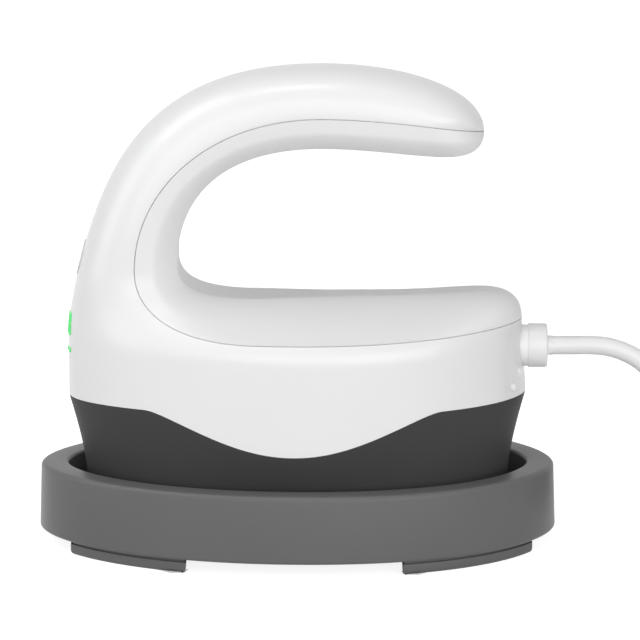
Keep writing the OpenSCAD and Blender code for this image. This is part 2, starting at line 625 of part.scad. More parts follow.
// The coil: four layers that spiral in and out by turns
coil_x = lead_from + lead_reach + cord_d;
coil_turns = 9.75;
layer_turns = 2.5;
coil_pitch = cord_d + 0.5;
coil_out = 5.5 * cord_d + layer_turns * coil_pitch / 2;
coil_y = coil_out;
coil_steps = 24;
function swing(u) = let (v = u / layer_turns, k = floor(v), f = v - k) k % 2 == 0 ? f : 1 - f;
function coil_r(u) = coil_out - layer_turns * coil_pitch * swing(u);
function climb(u) = let (k = round(u / layer_turns), d = u - k * layer_turns)
    (k == 0 ? 0 : k - 1 + ease((d + 0.25) * 2)) ;
function coil_point(u) = let (a = 360 * u - 90, r = coil_r(u))
    [coil_x + r * cos(a), coil_y + r * sin(a), lay_z + coil_pitch * climb(u)];
coil_end = coil_point(coil_turns);
coil_route = concat([[coil_x - cord_d, 0, lay_z]],
    [for (i = [0:coil_turns * coil_steps]) coil_point(i / coil_steps)],
    [coil_end - [0, cord_d, 0]]);
module cord_coil() color(WHITE) tube(coil_route, cord_d / 2, 6);

// Length of a route, and the coil's least gap to its own other turns
function length_of(p, i = 0, sum = 0) = i >= len(p) - 1 ? sum
    : length_of(p, i + 1, sum + norm(p[i + 1] - p[i]));
coil_gap = min([for (i = [0:len(coil_route) - 1], j = [i + 18:1:len(coil_route) - 1])
    norm(coil_route[i] - coil_route[j])]) - cord_d;

// The end that leaves the coil and goes to the plug
tail_from = coil_end - [0, 2 * cord_d, 0];
plug_at = [tail_from[0] + 22.2, tail_from[1] - 44.4, plug_t / 2 + clear];
// Ways to the rear and forward, and share of the drop to the plug
tail_shape = [[-0.5, -5, 0.05], [-1.5, -10, 0.15], [-2.3, -15, 0.285], [-2.7, -20, 0.43],
    [-2.6, -24.5, 0.55], [-1.9, -29.6, 0.66], [0.1, -34.4, 0.755], [3.3, -38.5, 0.835],
    [7.4, -41.7, 0.905], [12.2, -43.7, 0.96]];
tail_route = concat([coil_end - [0, cord_d, 0], tail_from], [for (p = tail_shape)
        [tail_from[0] + p[0], tail_from[1] + p[1], lerp(tail_from[2], plug_at[2], p[2])]],
    [plug_at - [cord_d, 0, 0], plug_at]);
module cord_tail() color(WHITE) tube(tail_route, cord_d / 2, 8);

tie_t = 0.6;
tie_w = 8;
module tie_profile(grow) offset(r = 2 + grow, $fn = 24) square(
    [layer_turns * coil_pitch + cord_d - 2.6, 3 * coil_pitch + cord_d + 0.1 - 4 + 0.4], center = true);
module cord_tie() color(DARK)
    translate([coil_x + coil_out - layer_turns * coil_pitch / 2, coil_y + tie_w / 2,
        tie_t + 0.05 + (3 * coil_pitch + cord_d + 0.5) / 2])
    rotate([90, 0, 0]) linear_extrude(tie_w) difference() {
        tie_profile(tie_t);
        tie_profile(0);
    }

relief_l = 10;
plug_x = plug_at[0] + relief_l;
module plug_body() color(WHITE) {
    translate(plug_at) rotate([0, 90, 0])
        cylinder(h = relief_l + 4, r1 = cord_d / 2 + 0.8, r2 = cord_d / 2 + 2, $fn = round_fn);
    translate([plug_x, plug_at[1], plug_at[2]]) intersection() {
        translate([0, 0, -plug_t / 2]) linear_extrude(plug_t) polygon([
            [0, -plug_w * 0.26], [plug_l * 0.55, -plug_w / 2], [plug_l - 2, -plug_w / 2],
            [plug_l, -plug_w / 2 + 2], [plug_l, plug_w / 2 - 2], [plug_l - 2, plug_w / 2],
            [plug_l * 0.55, plug_w / 2], [0, plug_w * 0.26]]);
        rotate([90, 0, 0]) translate([0, 0, -plug_w]) linear_extrude(2 * plug_w) polygon([
            [0, -plug_t * 0.34], [plug_l * 0.4, -plug_t / 2], [plug_l, -plug_t / 2],
            [plug_l, plug_t / 2], [plug_l * 0.4, plug_t / 2], [0, plug_t * 0.34]]);
    }
}
module plug_blades() color(METAL) for (s = [-1, 1])
    translate([plug_x + plug_l, plug_at[1] + s * 6.35 - 0.75, plug_at[2] - 3.15])
        cube([16.5, 1.5, 6.3]);

echo(lead_length = length_of(run_route) + length_of(coil_route) + length_of(tail_route),
    coil_gap = coil_gap);

stand_tray();
foot_front_left();
foot_front_right();
foot_rear_left();
foot_rear_right();
tray_pad();
outer_shell();
grip_liner();
base_skirt();
heat_plate();
plate_gasket();
heater_tube();
temp_sensor();
thermal_fuse();
heat_shield();
insulation_pad();
inner_frame();
plate_screws();
control_board();
board_screws();
relay();
supply_block();
filter_capacitor();
terminal_block();
display_board();
display_module();
button_switch();
power_button();
cord_gland();
inner_lead();
cord_clamp();
clamp_screws();
cord_run();
cord_coil();
cord_tail();
cord_tie();
plug_body();
plug_blades();
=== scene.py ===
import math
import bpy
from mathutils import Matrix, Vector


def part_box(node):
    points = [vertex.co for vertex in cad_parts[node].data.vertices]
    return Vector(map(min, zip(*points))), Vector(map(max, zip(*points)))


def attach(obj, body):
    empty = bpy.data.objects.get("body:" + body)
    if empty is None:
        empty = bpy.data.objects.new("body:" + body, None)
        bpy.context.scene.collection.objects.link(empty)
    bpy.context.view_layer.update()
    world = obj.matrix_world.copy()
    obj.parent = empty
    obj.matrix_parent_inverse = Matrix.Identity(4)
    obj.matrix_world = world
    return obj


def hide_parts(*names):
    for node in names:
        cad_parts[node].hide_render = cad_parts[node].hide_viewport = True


bl_info = {
    "name": "Mini heat press",
    "version": (1, 0, 0),
    "blender": (4, 5, 0),
    "location": "3D View > Sidebar > Heat press",
    "description": "Builds a small handheld heat press in its stand, with its mains lead",
    "category": "Add Mesh",
}

import bpy
from bpy.props import FloatProperty, FloatVectorProperty, IntProperty, PointerProperty
from mathutils import Matrix, Vector

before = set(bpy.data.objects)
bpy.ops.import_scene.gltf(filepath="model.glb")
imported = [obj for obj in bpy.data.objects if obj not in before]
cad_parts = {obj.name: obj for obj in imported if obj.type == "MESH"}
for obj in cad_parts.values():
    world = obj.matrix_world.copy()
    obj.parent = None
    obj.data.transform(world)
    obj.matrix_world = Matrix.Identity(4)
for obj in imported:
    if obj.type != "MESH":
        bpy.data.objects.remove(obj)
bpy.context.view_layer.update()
MM = 0.001


def length(name, text, value, low, high):
    """A size in metres, given in millimetres."""
    return FloatProperty(name=name, description=text, default=value * MM, min=low * MM,
                         max=high * MM, unit="LENGTH", precision=5)


def colour(name, text, value):
    return FloatVectorProperty(name=name, description=text, default=value, size=3, min=0, max=1,
                               subtype="COLOR")


# --- Sizes and colours ---


class PressSizes(bpy.types.PropertyGroup):
    """Sizes of the press, the same as those of its solids"""

    body_l: length("Body length", "Length of the press body", 117.4, 112, 122)
    body_w: length("Body width", "Width of the press body", 69, 67, 73)
    wall: length("Wall", "Wall of shell and liner", 2.4, 1.8, 2.8)
    sole_z: length("Sole", "Height of the sole's underside above the floor", 7.9, 5, 12)
    seam_h: length("Seam", "Height of the seam above the sole", 50.1, 48, 56)
    seam_rise: length("Seam rise", "Rise of the seam to the rear", 1.6, 0, 2.5)
    rear_lean: length("Rear lean", "How far the rear leans forward", 1.2, 0, 2)
    seam_gap: length("Seam gap", "Gap between shell and liner", 0.2, 0.1, 0.4)
    crest_h: length("Crest", "Height of the palm rest above the seam", 6.9, 5, 9)
    rear_fill: length("Rear fill", "How much the palm rest fills out to the rear", 0.2, 0, 1.6)
    skirt_h: length("Skirt", "Height of the skirt's upper edge above the sole", 32.2, 31, 34)
    skirt_foot: length("Skirt foot", "Height of the skirt's foot above the sole", 4.5, 3, 7)
    wave_drop: length("Wave drop", "How far the skirt's edge dips", 10.5, 4, 11)
    wave_l: length("Wave length", "Length of the dip", 75, 60, 90)
    skirt_taper: length("Skirt taper", "How far the skirt draws in", 4.8, 3.5, 5.5)
    hand_gap: length("Hand gap", "Clear height for the hand", 39.1, 34, 46)
    grip_t: length("Grip height", "Height of the grip's section", 20.2, 17, 24)
    grip_w: length("Grip width", "Width of the grip", 28, 24, 33)
    grip_reach: length("Grip reach", "How far the nose reaches to the rear", 47.6, 40, 54)
    grip_seam: length("Grip seam", "Height of the grip's seam above its underside", 8.6, 7, 12)
    column_t: length("Upright", "Thickness of the upright", 24.9, 22, 28)
    column_w: length("Upright width", "Width of the upright", 34, 30, 40)
    column_seam: length("Upright seam", "Distance of its seam from the front", 14.2, 12, 16)
    channel_w: length("Hollow width", "Width of the hollow along the liner", 17, 10, 20)
    channel_d: length("Hollow depth", "Depth of that hollow", 1, 0, 1.5)
    button_r: length("Button", "Radius of the power button", 4.75, 4, 5.5)
    button_h: length("Button height", "Height of the button above the sole", 66.6, 64, 68)
    vent_r: length("Vents", "Radius of the vent holes", 0.9, 0.6, 1.2)
    vent_pitch: length("Vent spacing", "Spacing of the vent holes", 7.5, 6, 9)
    gland_r: length("Gland", "Radius of the lead's gland", 5.65, 5, 6.5)
    gland_l: length("Gland length", "Length of the gland", 7.8, 6, 11)
    step_l: length("Gland step", "Step at the gland's foot, next to the body", 1.2, 0.6, 2)
    gland_h: length("Gland height", "Height of the gland above the sole", 43.4, 42.5, 44.5)


class StandSizes(bpy.types.PropertyGroup):
    """Sizes of the stand"""

    tray_gap: length("End room", "Room round the skirt at the ends", 4.3, 3.6, 8)
    tray_gap_side: length("Side room", "Room round the skirt at the sides", 3.5, 3, 8)
    height: length("Height", "Height of the rim above the floor", 21.1, 18, 23)
    rim_w: length("Rim", "Width of the rim", 7, 5.5, 7.5)
    rim_r: length("Rim edge", "Radius of the rim's outer edge", 1.2, 0.8, 2)
    lean: length("Tray lean", "How far the tray's wall leans in", 0.8, 0, 2)
    flare: length("Flare", "Flare of the wall down to its foot", 0.5, 0, 1.5)
    wall: length("Wall", "Wall of the stand", 2.2, 1.6, 2.6)
    floor_t: length("Floor", "Thickness of the tray's floor", 2.2, 1.6, 3)
    foot_h: length("Feet", "Height of the feet", 3.7, 2.5, 5)


class LeadSizes(bpy.types.PropertyGroup):
    """Sizes of the mains lead"""

    cord_d: length("Lead", "Diameter of the lead", 4.8, 4.4, 5)
    reach: length("Reach", "Distance from the gland to the floor", 59.5, 56, 80)
    turns: FloatProperty(name="Turns", description="Turns of the coil", default=9.75, min=5,
                         max=12)
    plug_w: length("Plug width", "Width of the plug", 24, 20, 28)
    plug_t: length("Plug height", "Thickness of the plug", 14, 12, 17)
    plug_l: length("Plug length", "Length of the plug's body", 28, 22, 34)


class PressColours(bpy.types.PropertyGroup):
    """Colours of the press, its stand and its lead"""

    shell: colour("Shell", "Glossy white shell", (0.84, 0.84, 0.845))
    liner: colour("Liner", "Satin liner of the grip", (0.84, 0.84, 0.845))
    skirt: colour("Skirt", "Dark skirt", (0.06, 0.06, 0.062))
    stand: colour("Stand", "Grey stand", (0.137, 0.137, 0.139))
    rubber: colour("Rubber", "Feet, pad and seal", (0.04, 0.04, 0.041))
    # Feet: the stand's grey darkened, as painted shade under the stand's wall
    feet: colour("Feet", "Feet of the stand", (0.1, 0.1, 0.102))
    lead: colour("Lead", "Lead, gland and plug", (0.87, 0.87, 0.87))
    lit: colour("Display", "Lit figures", (0.03, 0.75, 0.12))
    floor: colour("Floor", "Floor and backdrop", (0.62, 0.62, 0.62))


class StageSettings(bpy.types.PropertyGroup):
    """Camera and studio"""

    distance: FloatProperty(name="Distance", description="Camera distance", default=1.4, min=0.8,
                            max=3, unit="LENGTH")
    elevation: FloatProperty(name="Elevation", description="Angle above the horizon",
                             default=math.radians(12.2), min=0, max=1.5, subtype="ANGLE")
    view_w: length("View width", "Width of the view at the object", 164.2, 100, 400)
    fineness: IntProperty(name="Fineness", description="Steps between the stations of the shell",
                          default=4, min=1, max=8)


# --- Shape of shell, liner and skirt ---


def lerp(a, b, t):
    return a + (b - a) * t


def ease(t):
    t = min(1.0, max(0.0, t))
    return t * t * (3 - 2 * t)


def raised(v, e):
    return max(v, 0.0) ** e


def bezier(c, t):
    s = 1 - t
    return (s * s * s * Vector(c[0]) + 3 * s * s * t * Vector(c[1]) + 3 * s * t * t * Vector(c[2])
            + t * t * t * Vector(c[3]))


def shrunk(v, inset):
    """A vector that ends short by an inset, but keeps at least half its length."""
    return v if v.length < 0.001 else v * max(v.length - inset, v.length / 2) / v.length


# The plan's egg: its exponents along and across, and how much wider it is to the rear
EGG_LONG, EGG_WIDE, EGG_REAR = 2.1, 1.8, 0.05


def egg_y(u, w):
    """Half width of the plan's egg at a share of its half length."""
    return w * (1 + EGG_REAR * u) * raised(1 - raised(abs(u), EGG_LONG), 1 / EGG_WIDE)


def egg_x(y, w, end):
    """Share of its half length that the egg reaches at y, to the rear (1) or the front (-1)."""
    return raised(1 - raised(abs(y) / (w * (1 + EGG_REAR * end)), EGG_WIDE), 1 / EGG_LONG)


def egg(angle, half_l, half_w, inset):
    c = math.cos(math.radians(angle))
    side = math.sin(math.radians(angle))
    y = egg_y(c, half_w - inset)
    return (half_l - inset) * c, -y if side < 0 else y


class Form:
    """The curves of the press in millimetres, from its sizes."""

    # Stations along the seam: palm rest, corner, bend and nose
    n_rest, n_corner, n_bend, n_nose = 21, 14, 14, 12
    # Exponents of the sections: shell, then the liner at its middle, its rear and its grip
    section_e, rest_e, rear_e, hold_e = 0.8, 1.8, 0.95, 1.1
    # Rows of the seam's rounded edge: share of its way and of its depth
    edge_r, groove_d = 0.06, 0.6
    edge_rows = {-3: (0, 1), -2: (0.15, 0.4), -1: (0.45, 0.1)}
    # Where the grip's crown and the palm rest's corner are, along the press
    crown, corner = 6.0, -10.0
    # The front leans back with the height above lean_z: factor and exponent
    lean, lean_e = 0.0272, 1.6
    gland_seat = 2.4
    button_tilt = 8

    def __init__(self, sizes):
        for key in PressSizes.__annotations__:
            setattr(self, key, getattr(sizes, key) / MM)
        self.half_l, self.half_w = self.body_l / 2, self.body_w / 2
        self.skirt_z = self.sole_z + self.skirt_foot
        self.wave_z = self.sole_z + self.skirt_h
        self.seam_z = self.sole_z + self.seam_h
        self.crest_z = self.seam_z + self.crest_h
        self.under_z = self.crest_z + self.hand_gap
        self.top_z = self.under_z + self.grip_t
        self.grip_seam_z = self.under_z + self.grip_seam
        self.neck_z = self.crest_z + 9.1
        self.lean_z = self.seam_z - 4
        self.gland_z = self.sole_z + self.gland_h
        self.s_corner = self.n_rest
        self.s_front = 30
        self.s_neck = self.s_corner + self.n_corner
        self.s_crown = self.s_neck + self.n_bend
        self.s_nose = self.s_crown + self.n_nose
        self.curves()

    def curves(self):
        crown, corner, neck = self.crown, self.corner, self.neck_z
        out = self.front_x(neck)
        seam, inner = out + self.column_seam, out + self.column_t
        nose = (self.grip_reach, self.grip_seam_z - 5)

        def bend(a, slope, b, up, back):
            rise = up * (b[1] - a[1])
            return (a, (a[0] + slope * rise, a[1] + rise), (b[0] - back * (b[0] - a[0]), b[1]), b)

        self.rest_angle = math.degrees(math.acos(corner / self.half_l))
        self.nose = nose
        # Corner, bend and nose of each line; the outer line has its own way round the corner
        self.out = (None, bend((out, neck), 0.26, (crown, self.top_z), 0.52, 0.69),
                    ((crown, self.top_z), (crown + 26, self.top_z), (nose[0], nose[1] + 8), nose))
        self.seam = (((corner, self.seam_z), (corner - 23, self.seam_z), (seam, neck - 9.5),
                      (seam, neck)),
                     bend((seam, neck), 0, (crown, self.grip_seam_z), 0.54, 0.6),
                     ((crown, self.grip_seam_z), (crown + 12, self.grip_seam_z),
                      (nose[0] - 5, nose[1] + 2.5), nose))
        self.inner = (((corner, self.crest_z), (corner - 14, self.crest_z), (inner, neck - 6.5),
                       (inner, neck)),
                      bend((inner, neck), 0, (crown, self.under_z), 0.55, 0.72),
                      ((crown, self.under_z), (crown + 22, self.under_z),
                       (nose[0] - 0.5, nose[1] - 10.2), nose))

    def front_x(self, z):
        return -self.half_l + self.lean * raised(z - self.lean_z, self.lean_e)

    def rear_x(self, z):
        t = (z - self.wave_z) / (self.seam_z - self.wave_z)
        return self.half_l - self.rear_lean * min(1, max(0, t))

    def wave(self, x):
        """Height of the edge between shell and skirt."""
        dip = 0.5 + 0.5 * math.cos(math.pi * min(1, abs(x + 1) / (self.wave_l / 2 + 0.4)))
        dip = (raised(dip + 0.01, 0.6) - 0.063) / 0.943
        ends = (1.4 if x < 0 else 0.3) * (abs(x) / self.half_l) ** 4
        return self.wave_z + 0.15 - ends - self.wave_drop * dip

    def nose_t(self, i):
        return 1 - raised(1 - (i - self.s_crown) / self.n_nose, 1.6)

    def line_at(self, line, i):
        """A point of one of the three lines, past the palm rest."""
        corner, bend, nose = line
        if i <= self.s_neck:
            return bezier(corner, (i - self.s_corner) / self.n_corner)
        if i <= self.s_crown:
            return bezier(bend, (i - self.s_neck) / self.n_bend)
        return bezier(nose, self.nose_t(i))

    def seam_at(self, i, inset=0):
        if i <= self.s_corner:
            x = math.cos(math.radians(self.rest_angle * i / self.n_rest))
            reach = self.rear_x(self.seam_z) if x > 0 else self.half_l
            return Vector(((reach - inset) * x, self.seam_z + self.seam_rise * max(0, x) ** 2))
        drawn_in = inset * self.nose_t(i) ** 4 if i > self.s_crown else 0
        return self.line_at(self.seam, i) - Vector((drawn_in, 0))

    def out_at(self, i, inset=0):
        """Outermost point of the shell's section."""
        if i <= self.s_front:
            c = math.cos(math.radians(6 * i))
            return Vector(((self.half_l - inset) * c, self.wave(self.half_l * c)))
        if i <= self.s_neck:
            z = lerp(self.wave(self.half_l), self.neck_z,
                     (i - self.s_front) / (self.s_neck - self.s_front))
            return Vector((self.front_x(z) + inset, z))
        way = self.line_at(self.out, i) - self.seam_at(i)
        return self.seam_at(i, inset) + shrunk(way, inset)

    def in_at(self, i, inset=0):
        """Crest of the liner's section."""
        s = self.seam_at(i)
        if i <= self.s_corner:
            u = max(0, s.x / self.rear_x(self.seam_z))
            crest = self.crest_h + self.rear_fill * ease((u - 0.45) / 0.4)
            p = s + Vector((0, crest * math.sqrt(max(0, 1 - u ** 14))))
        else:
            p = self.line_at(self.inner, i)
        return self.seam_at(i, inset) + shrunk(p - s, inset)

    def grip_half(self, i):
        """Half width of upright and grip."""
        half = lerp(self.column_w, self.grip_w, ease((i - self.s_neck) / self.n_bend)) / 2
        if i <= self.s_crown:
            return half
        x = self.seam_at(i).x
        return half * math.sqrt(max(0, 1 - max(0, (x - self.nose[0] + 15) / 15) ** 2.2))

    def side_y(self, i, x, z, share, inset):
        """Half width at a place, where the body's egg turns into the upright's section."""
        t = ease((z - self.lean_z) / (self.neck_z - self.lean_z))
        body, half = 0, self.grip_half(i)
        if i < self.s_crown and t < 1:
            reach = -self.front_x(z) if x < 0 else self.rear_x(z)
            body = egg_y(x / (reach - inset), self.half_w - inset)
        return lerp(body, max(half - inset, half / 2) * share, t if i < self.s_neck else 1)

    def gap(self, inset):
        """Half of the seam's gap, which closes to a hair's breadth behind its groove."""
        return 0.02 if inset > self.groove_d else self.seam_gap / 2

    def across(self, row, reach, e, inset):
        """Angle and inset of a row: rows run from 0 to 1, those under 0 round the seam's edge."""
        if inset:
            return math.pi / 2 * max(row, 0), inset
        way = self.edge_r * (1 - 0.6 * (e - self.section_e))
        share, depth = self.edge_rows.get(row, (1, 0))
        start = math.asin(min(0.3, share * way / max(reach, 0.01)) ** (1 / e))
        return start + (math.pi / 2 - start) * max(row, 0), depth * self.edge_r

    def section(self, a, b, angle, e, gap):
        """Point between the seam a and the edge b, with the seam's gap left open."""
        d = b - a
        s = a + d * min(1, gap / d.length) if d.length > 0.01 else a
        return s.lerp(b, raised(math.sin(angle), e))

    def shell_point(self, i, row, side, inset=0):
        e = self.section_e
        angle, inset = self.across(row, (self.out_at(i) - self.seam_at(i)).length, e, inset)
        p = self.section(self.seam_at(i, inset), self.out_at(i, inset), angle, e, self.gap(inset))
        meets = i == 0 or (row == 1 and i >= self.s_front)
        y = 0 if meets else self.side_y(i, p.x, p.y, raised(math.cos(angle), e), inset)
        return p.x, side * y, p.y

    def hollow(self, i, y):
        """Half width of the hollow along the liner."""
        if i > self.s_corner:
            share = lerp(0.8, 1, ease((i - self.s_corner) / self.n_corner))
        else:
            share = 0.8 * raised((43 - self.seam_at(i)[0]) / 53, 1.3)
        return max(y * 0.12, min(y * 0.6, share * self.channel_w / 2))

    def liner_point(self, i, row, side, inset=0):
        e = (lerp(self.rear_e, self.rest_e, ease((i - 4) / 10)) if i <= self.s_corner
             else lerp(self.rest_e, self.hold_e, ease((i - self.s_corner) / self.n_corner)))
        reach = (self.in_at(i) - self.seam_at(i)).length
        angle, inset = self.across(min(1, row / 0.75), reach, e, inset)
        seam, crest = self.seam_at(i, inset), self.in_at(i, inset)
        y0 = 0 if i == 0 else self.side_y(i, seam.x, seam.y, 1, inset)
        w = self.hollow(i, y0)
        p = self.section(seam, crest, angle, e, self.gap(inset))
        if row <= 0.75:
            rise, fall = raised(math.sin(angle), e), raised(math.cos(angle), e)
            # The upright and the grip have a soft crease, this far up the section
            crease = 0.42
            creased = (1 - 0.2 * rise if rise < crease
                       else 0.916 * (1 - ((rise - crease) / (1 - crease)) ** 1.3))
            hold = ease((i - self.s_corner) / self.n_corner) - ease((i - self.s_nose + 5) / 4)
            return p.x, side * lerp(w, y0, lerp(fall, creased, 0.9 * hold)), p.y
        y = w * (1 - (row - 0.75) / 0.25)
        d = crest - seam
        if d.length > 0.01 and w > 0:
            p = p - d.normalized() * self.channel_d * w / (self.channel_w / 2) * (1 - (y / w) ** 2)
        return p.x, side * y, p.y


# --- Modelling steps ---


def deselect():
    if bpy.context.object and bpy.context.object.mode != "OBJECT":
        bpy.ops.object.mode_set(mode="OBJECT")
    bpy.ops.object.select_all(action="DESELECT")


def pick(*pieces):
    deselect()
    for piece in pieces:
        piece.select_set(True)
    bpy.context.view_layer.objects.active = pieces[0]


def edit():
    """Opens the active piece for editing, with all of it selected."""
    bpy.ops.object.mode_set(mode="EDIT")
    bpy.ops.mesh.select_all(action="SELECT")


def edited():
    """Turns all faces outward and ends the editing."""
    bpy.ops.mesh.select_all(action="SELECT")
    bpy.ops.mesh.normals_make_consistent(inside=False)
    bpy.ops.object.mode_set(mode="OBJECT")


def named(name):
    piece = bpy.context.object
    piece.name = piece.data.name = name
    return piece


def added(name, kind, **values):
    """A new primitive, added with nothing else selected."""
    deselect()
    getattr(bpy.ops.mesh, f"primitive_{kind}_add")(**values)
    return named(name)


def lattice(name, across, along, place):
    """A grid whose points are set in millimetres by place(u, v), both from 0 to 1."""
    piece = added(name, "grid", x_subdivisions=across, y_subdivisions=along, size=2)
    for point in piece.data.vertices:
        point.co = Vector(place((point.co.x + 1) / 2, (point.co.y + 1) / 2)) * MM
    return piece


def hull(name, point, wall, stations, foot=0):
    """A closed shell from its outer and inner skins and the rims between them."""
    fine = bpy.context.scene.stage_settings.fineness
    # Number of stations and rows (place across the skin, inset) of each strip
    outer, inner = ([k / n for k in range(n + 1)] for n in (32, 8))
    strips = [(stations, [(row, 0) for row in (-3, -2, -1, *outer)]),
              (stations, [(row, wall) for row in inner]),
              (stations, [(-3, d) for d in (0, Form.groove_d, Form.groove_d + 0.01, wall)])]
    if foot:
        strips.append((foot, [(1, 0), (1, wall / 2), (1, wall)]))
    pieces = []
    for side in (-1, 1):
        for count, rows in strips:
            def place(u, v):
                row, inset = rows[round(v * (len(rows) - 1))]
                return point(count * u, row, side, inset)
            pieces.append(lattice("skin", count * fine, len(rows) - 1, place))
    return closed(joined(name, pieces))


def joined(name, pieces):
    pick(*pieces)
    bpy.ops.object.join()
    return named(name)


def closed(piece, gap=1e-6, fill=False):
    """Merges meeting points, fills open rims if asked, and turns the faces outward."""
    pick(piece)
    edit()
    bpy.ops.mesh.remove_doubles(threshold=gap)
    bpy.ops.mesh.dissolve_degenerate(threshold=gap)
    if fill:
        bpy.ops.mesh.select_all(action="DESELECT")
        bpy.ops.mesh.select_mode(type="EDGE")
        bpy.ops.mesh.select_non_manifold()
        bpy.ops.mesh.fill_holes(sides=0)
        bpy.ops.mesh.select_mode(type="VERT")
    edited()
    return piece


def modified(piece, kind, **values):
    """Adds a modifier, sets its values and applies it."""
    pick(piece)
    bpy.ops.object.modifier_add(type=kind)
    modifier = piece.modifiers[-1]
    for key, value in values.items():
        setattr(modifier, key, value)
    bpy.ops.object.modifier_apply(modifier=modifier.name)
    return piece


def walled(piece, thickness):
    return modified(piece, "SOLIDIFY", thickness=thickness * MM, offset=-1, use_even_offset=True,
                    use_quality_normals=True)


def edged(piece, width, segments=2, angle=40):
    return modified(piece, "BEVEL", width=width * MM, segments=segments, limit_method="ANGLE",
                    angle_limit=math.radians(angle), miter_outer="MITER_ARC")


def cut(piece, cutter):
    modified(piece, "BOOLEAN", operation="DIFFERENCE", object=cutter, solver="EXACT")
    bpy.data.objects.remove(cutter)
    return piece


def smooth(piece, angle=35):
    pick(piece)
    bpy.ops.object.shade_smooth_by_angle(angle=math.radians(angle))
    return piece


def settled(piece, matrix=None):
    """Puts the piece in place and writes that place into its mesh."""
    if matrix is not None:
        piece.matrix_world = matrix @ piece.matrix_world
    pick(piece)
    bpy.ops.object.transform_apply(location=True, rotation=True, scale=True)
    return piece


def block(name, low, high):
    """A box between two corners in metres, from which a piece is shaped."""
    piece = added(name, "cube", size=1, location=(low + high) / 2)
    piece.scale = high - low
    return settled(piece)


def turned(name, profile, sides=64):
    """A turned piece round Z, from circle to circle of (radius, height) in millimetres."""
    r, z = profile[0]
    piece = added(name, "circle", vertices=sides, radius=r * MM, fill_type="NGON")
    edit()
    bpy.ops.transform.translate(value=(0, 0, z * MM))
    for r1, z1 in profile[1:]:
        bpy.ops.mesh.extrude_region_move(TRANSFORM_OT_translate={"value": (0, 0, (z1 - z) * MM)})
        bpy.ops.transform.resize(value=(r1 / r, r1 / r, 1), center_override=(0, 0, z1 * MM))
        r, z = r1, z1
    edited()
    return piece


def rounded(corners, steps=5):
    """Points of an open outline of (inset, height, radius), each inner corner an arc."""
    points = [corners[0][:2]]
    for before, at, after in zip(corners, corners[1:], corners[2:]):
        p, r = Vector(at[:2]), at[2]
        a, b = (Vector(before[:2]) - p), (Vector(after[:2]) - p)
        if r <= 0:
            points.append(tuple(p))
            continue
        angle = a.angle(b)
        reach = min(r / math.tan(angle / 2), a.length * 0.49, b.length * 0.49)
        r = reach * math.tan(angle / 2)
        a.normalize()
        b.normalize()
        middle = p + (a + b).normalized() * (r / math.sin(angle / 2))
        start, end = p + a * reach, p + b * reach
        turn = (start - middle).angle_signed(end - middle)
        for k in range(steps + 1):
            spoke = (start - middle).copy()
            spoke.rotate(Matrix.Rotation(-turn * k / steps, 2))
            points.append(tuple(middle + spoke))
    points.append(corners[-1][:2])
    return points


def along_x(x, z):
    """Turns Z to X and moves to a place in millimetres."""
    return Matrix.Translation((x * MM, 0, z * MM)) @ Matrix.Rotation(math.radians(90), 4, "Y")


# --- Materials ---


def put(inputs, values):
    for key, value in (values or {}).items():
        inputs[key].default_value = value


def node(tree, kind, values=None, links=None, **settings):
    """Adds a node, with its settings, its socket values and what is linked into it."""
    made = tree.nodes.new(kind)
    for key, value in settings.items():
        setattr(made, key, value)
    put(made.inputs, values)
    for key, source in (links or {}).items():
        tree.links.new(source, made.inputs[key])
    return made


def maths(tree, operation, a, b):
    return node(tree, "ShaderNodeMath", None, {0: a, 1: b}, operation=operation).outputs[0]


def surface_group(name, stretch, fine, clouds, spread, tone, relief):
    """A node group with a fine pattern in relief and clouds that vary tone and gloss.

    stretch scales the fine pattern, fine and clouds are the values of the two noises, spread is
    what the clouds are mapped to, tone is -1 where they darken, and relief is in metres.
    """
    tree = bpy.data.node_groups.new(name, "ShaderNodeTree")
    for way, sockets in (("INPUT", (("Vector", "Vector"), ("Colour", "Color"),
                                    ("Roughness", "Float"), ("Pattern scale", "Float"),
                                    ("Pattern depth", "Float"), ("Unevenness", "Float"))),
                         ("OUTPUT", (("Colour", "Color"), ("Roughness", "Float"),
                                     ("Normal", "Vector")))):
        for label, kind in sockets:
            tree.interface.new_socket(name=label, in_out=way, socket_type="NodeSocket" + kind)
    start = tree.nodes.new("NodeGroupInput").outputs
    end = tree.nodes.new("NodeGroupOutput").inputs
    place = node(tree, "ShaderNodeMapping", {"Scale": stretch}, {"Vector": start["Vector"]})
    pattern = node(tree, "ShaderNodeTexNoise", fine, {"Vector": place.outputs["Vector"],
                                                      "Scale": start["Pattern scale"]})
    soft = node(tree, "ShaderNodeTexNoise", clouds, {"Vector": start["Vector"]})
    level = node(tree, "ShaderNodeMapRange", spread, {"Value": soft.outputs["Fac"]})
    shift = maths(tree, "MULTIPLY", level.outputs["Result"], start["Unevenness"])
    value = node(tree, "ShaderNodeMath", {1: tone, 2: 1.0}, {0: shift}, operation="MULTIPLY_ADD")
    tint = node(tree, "ShaderNodeHueSaturation", None, {"Color": start["Colour"],
                                                        "Value": value.outputs[0]})
    bump = node(tree, "ShaderNodeBump", {"Distance": relief}, {
        "Height": pattern.outputs["Fac"], "Strength": start["Pattern depth"]})
    tree.links.new(tint.outputs["Color"], end["Colour"])
    tree.links.new(maths(tree, "ADD", shift, start["Roughness"]), end["Roughness"])
    tree.links.new(bump.outputs["Normal"], end["Normal"])


def surface_groups():
    """Moulding grain of plastic and rubber, and lines of drawn or brushed metal along X."""
    surface_group("moulded plastic", (1, 1, 1), {"Detail": 3.0, "Roughness": 0.6},
                  {"Scale": 26.0, "Detail": 2.0},
                  {"From Min": 0.3, "From Max": 0.7, "To Min": -1.0, "To Max": 1.0}, 1, 0.0004)
    surface_group("drawn metal", (0.04, 1, 1), {"Detail": 4.0}, {"Scale": 60.0, "Detail": 5.0},
                  {}, -1, 0.0003)


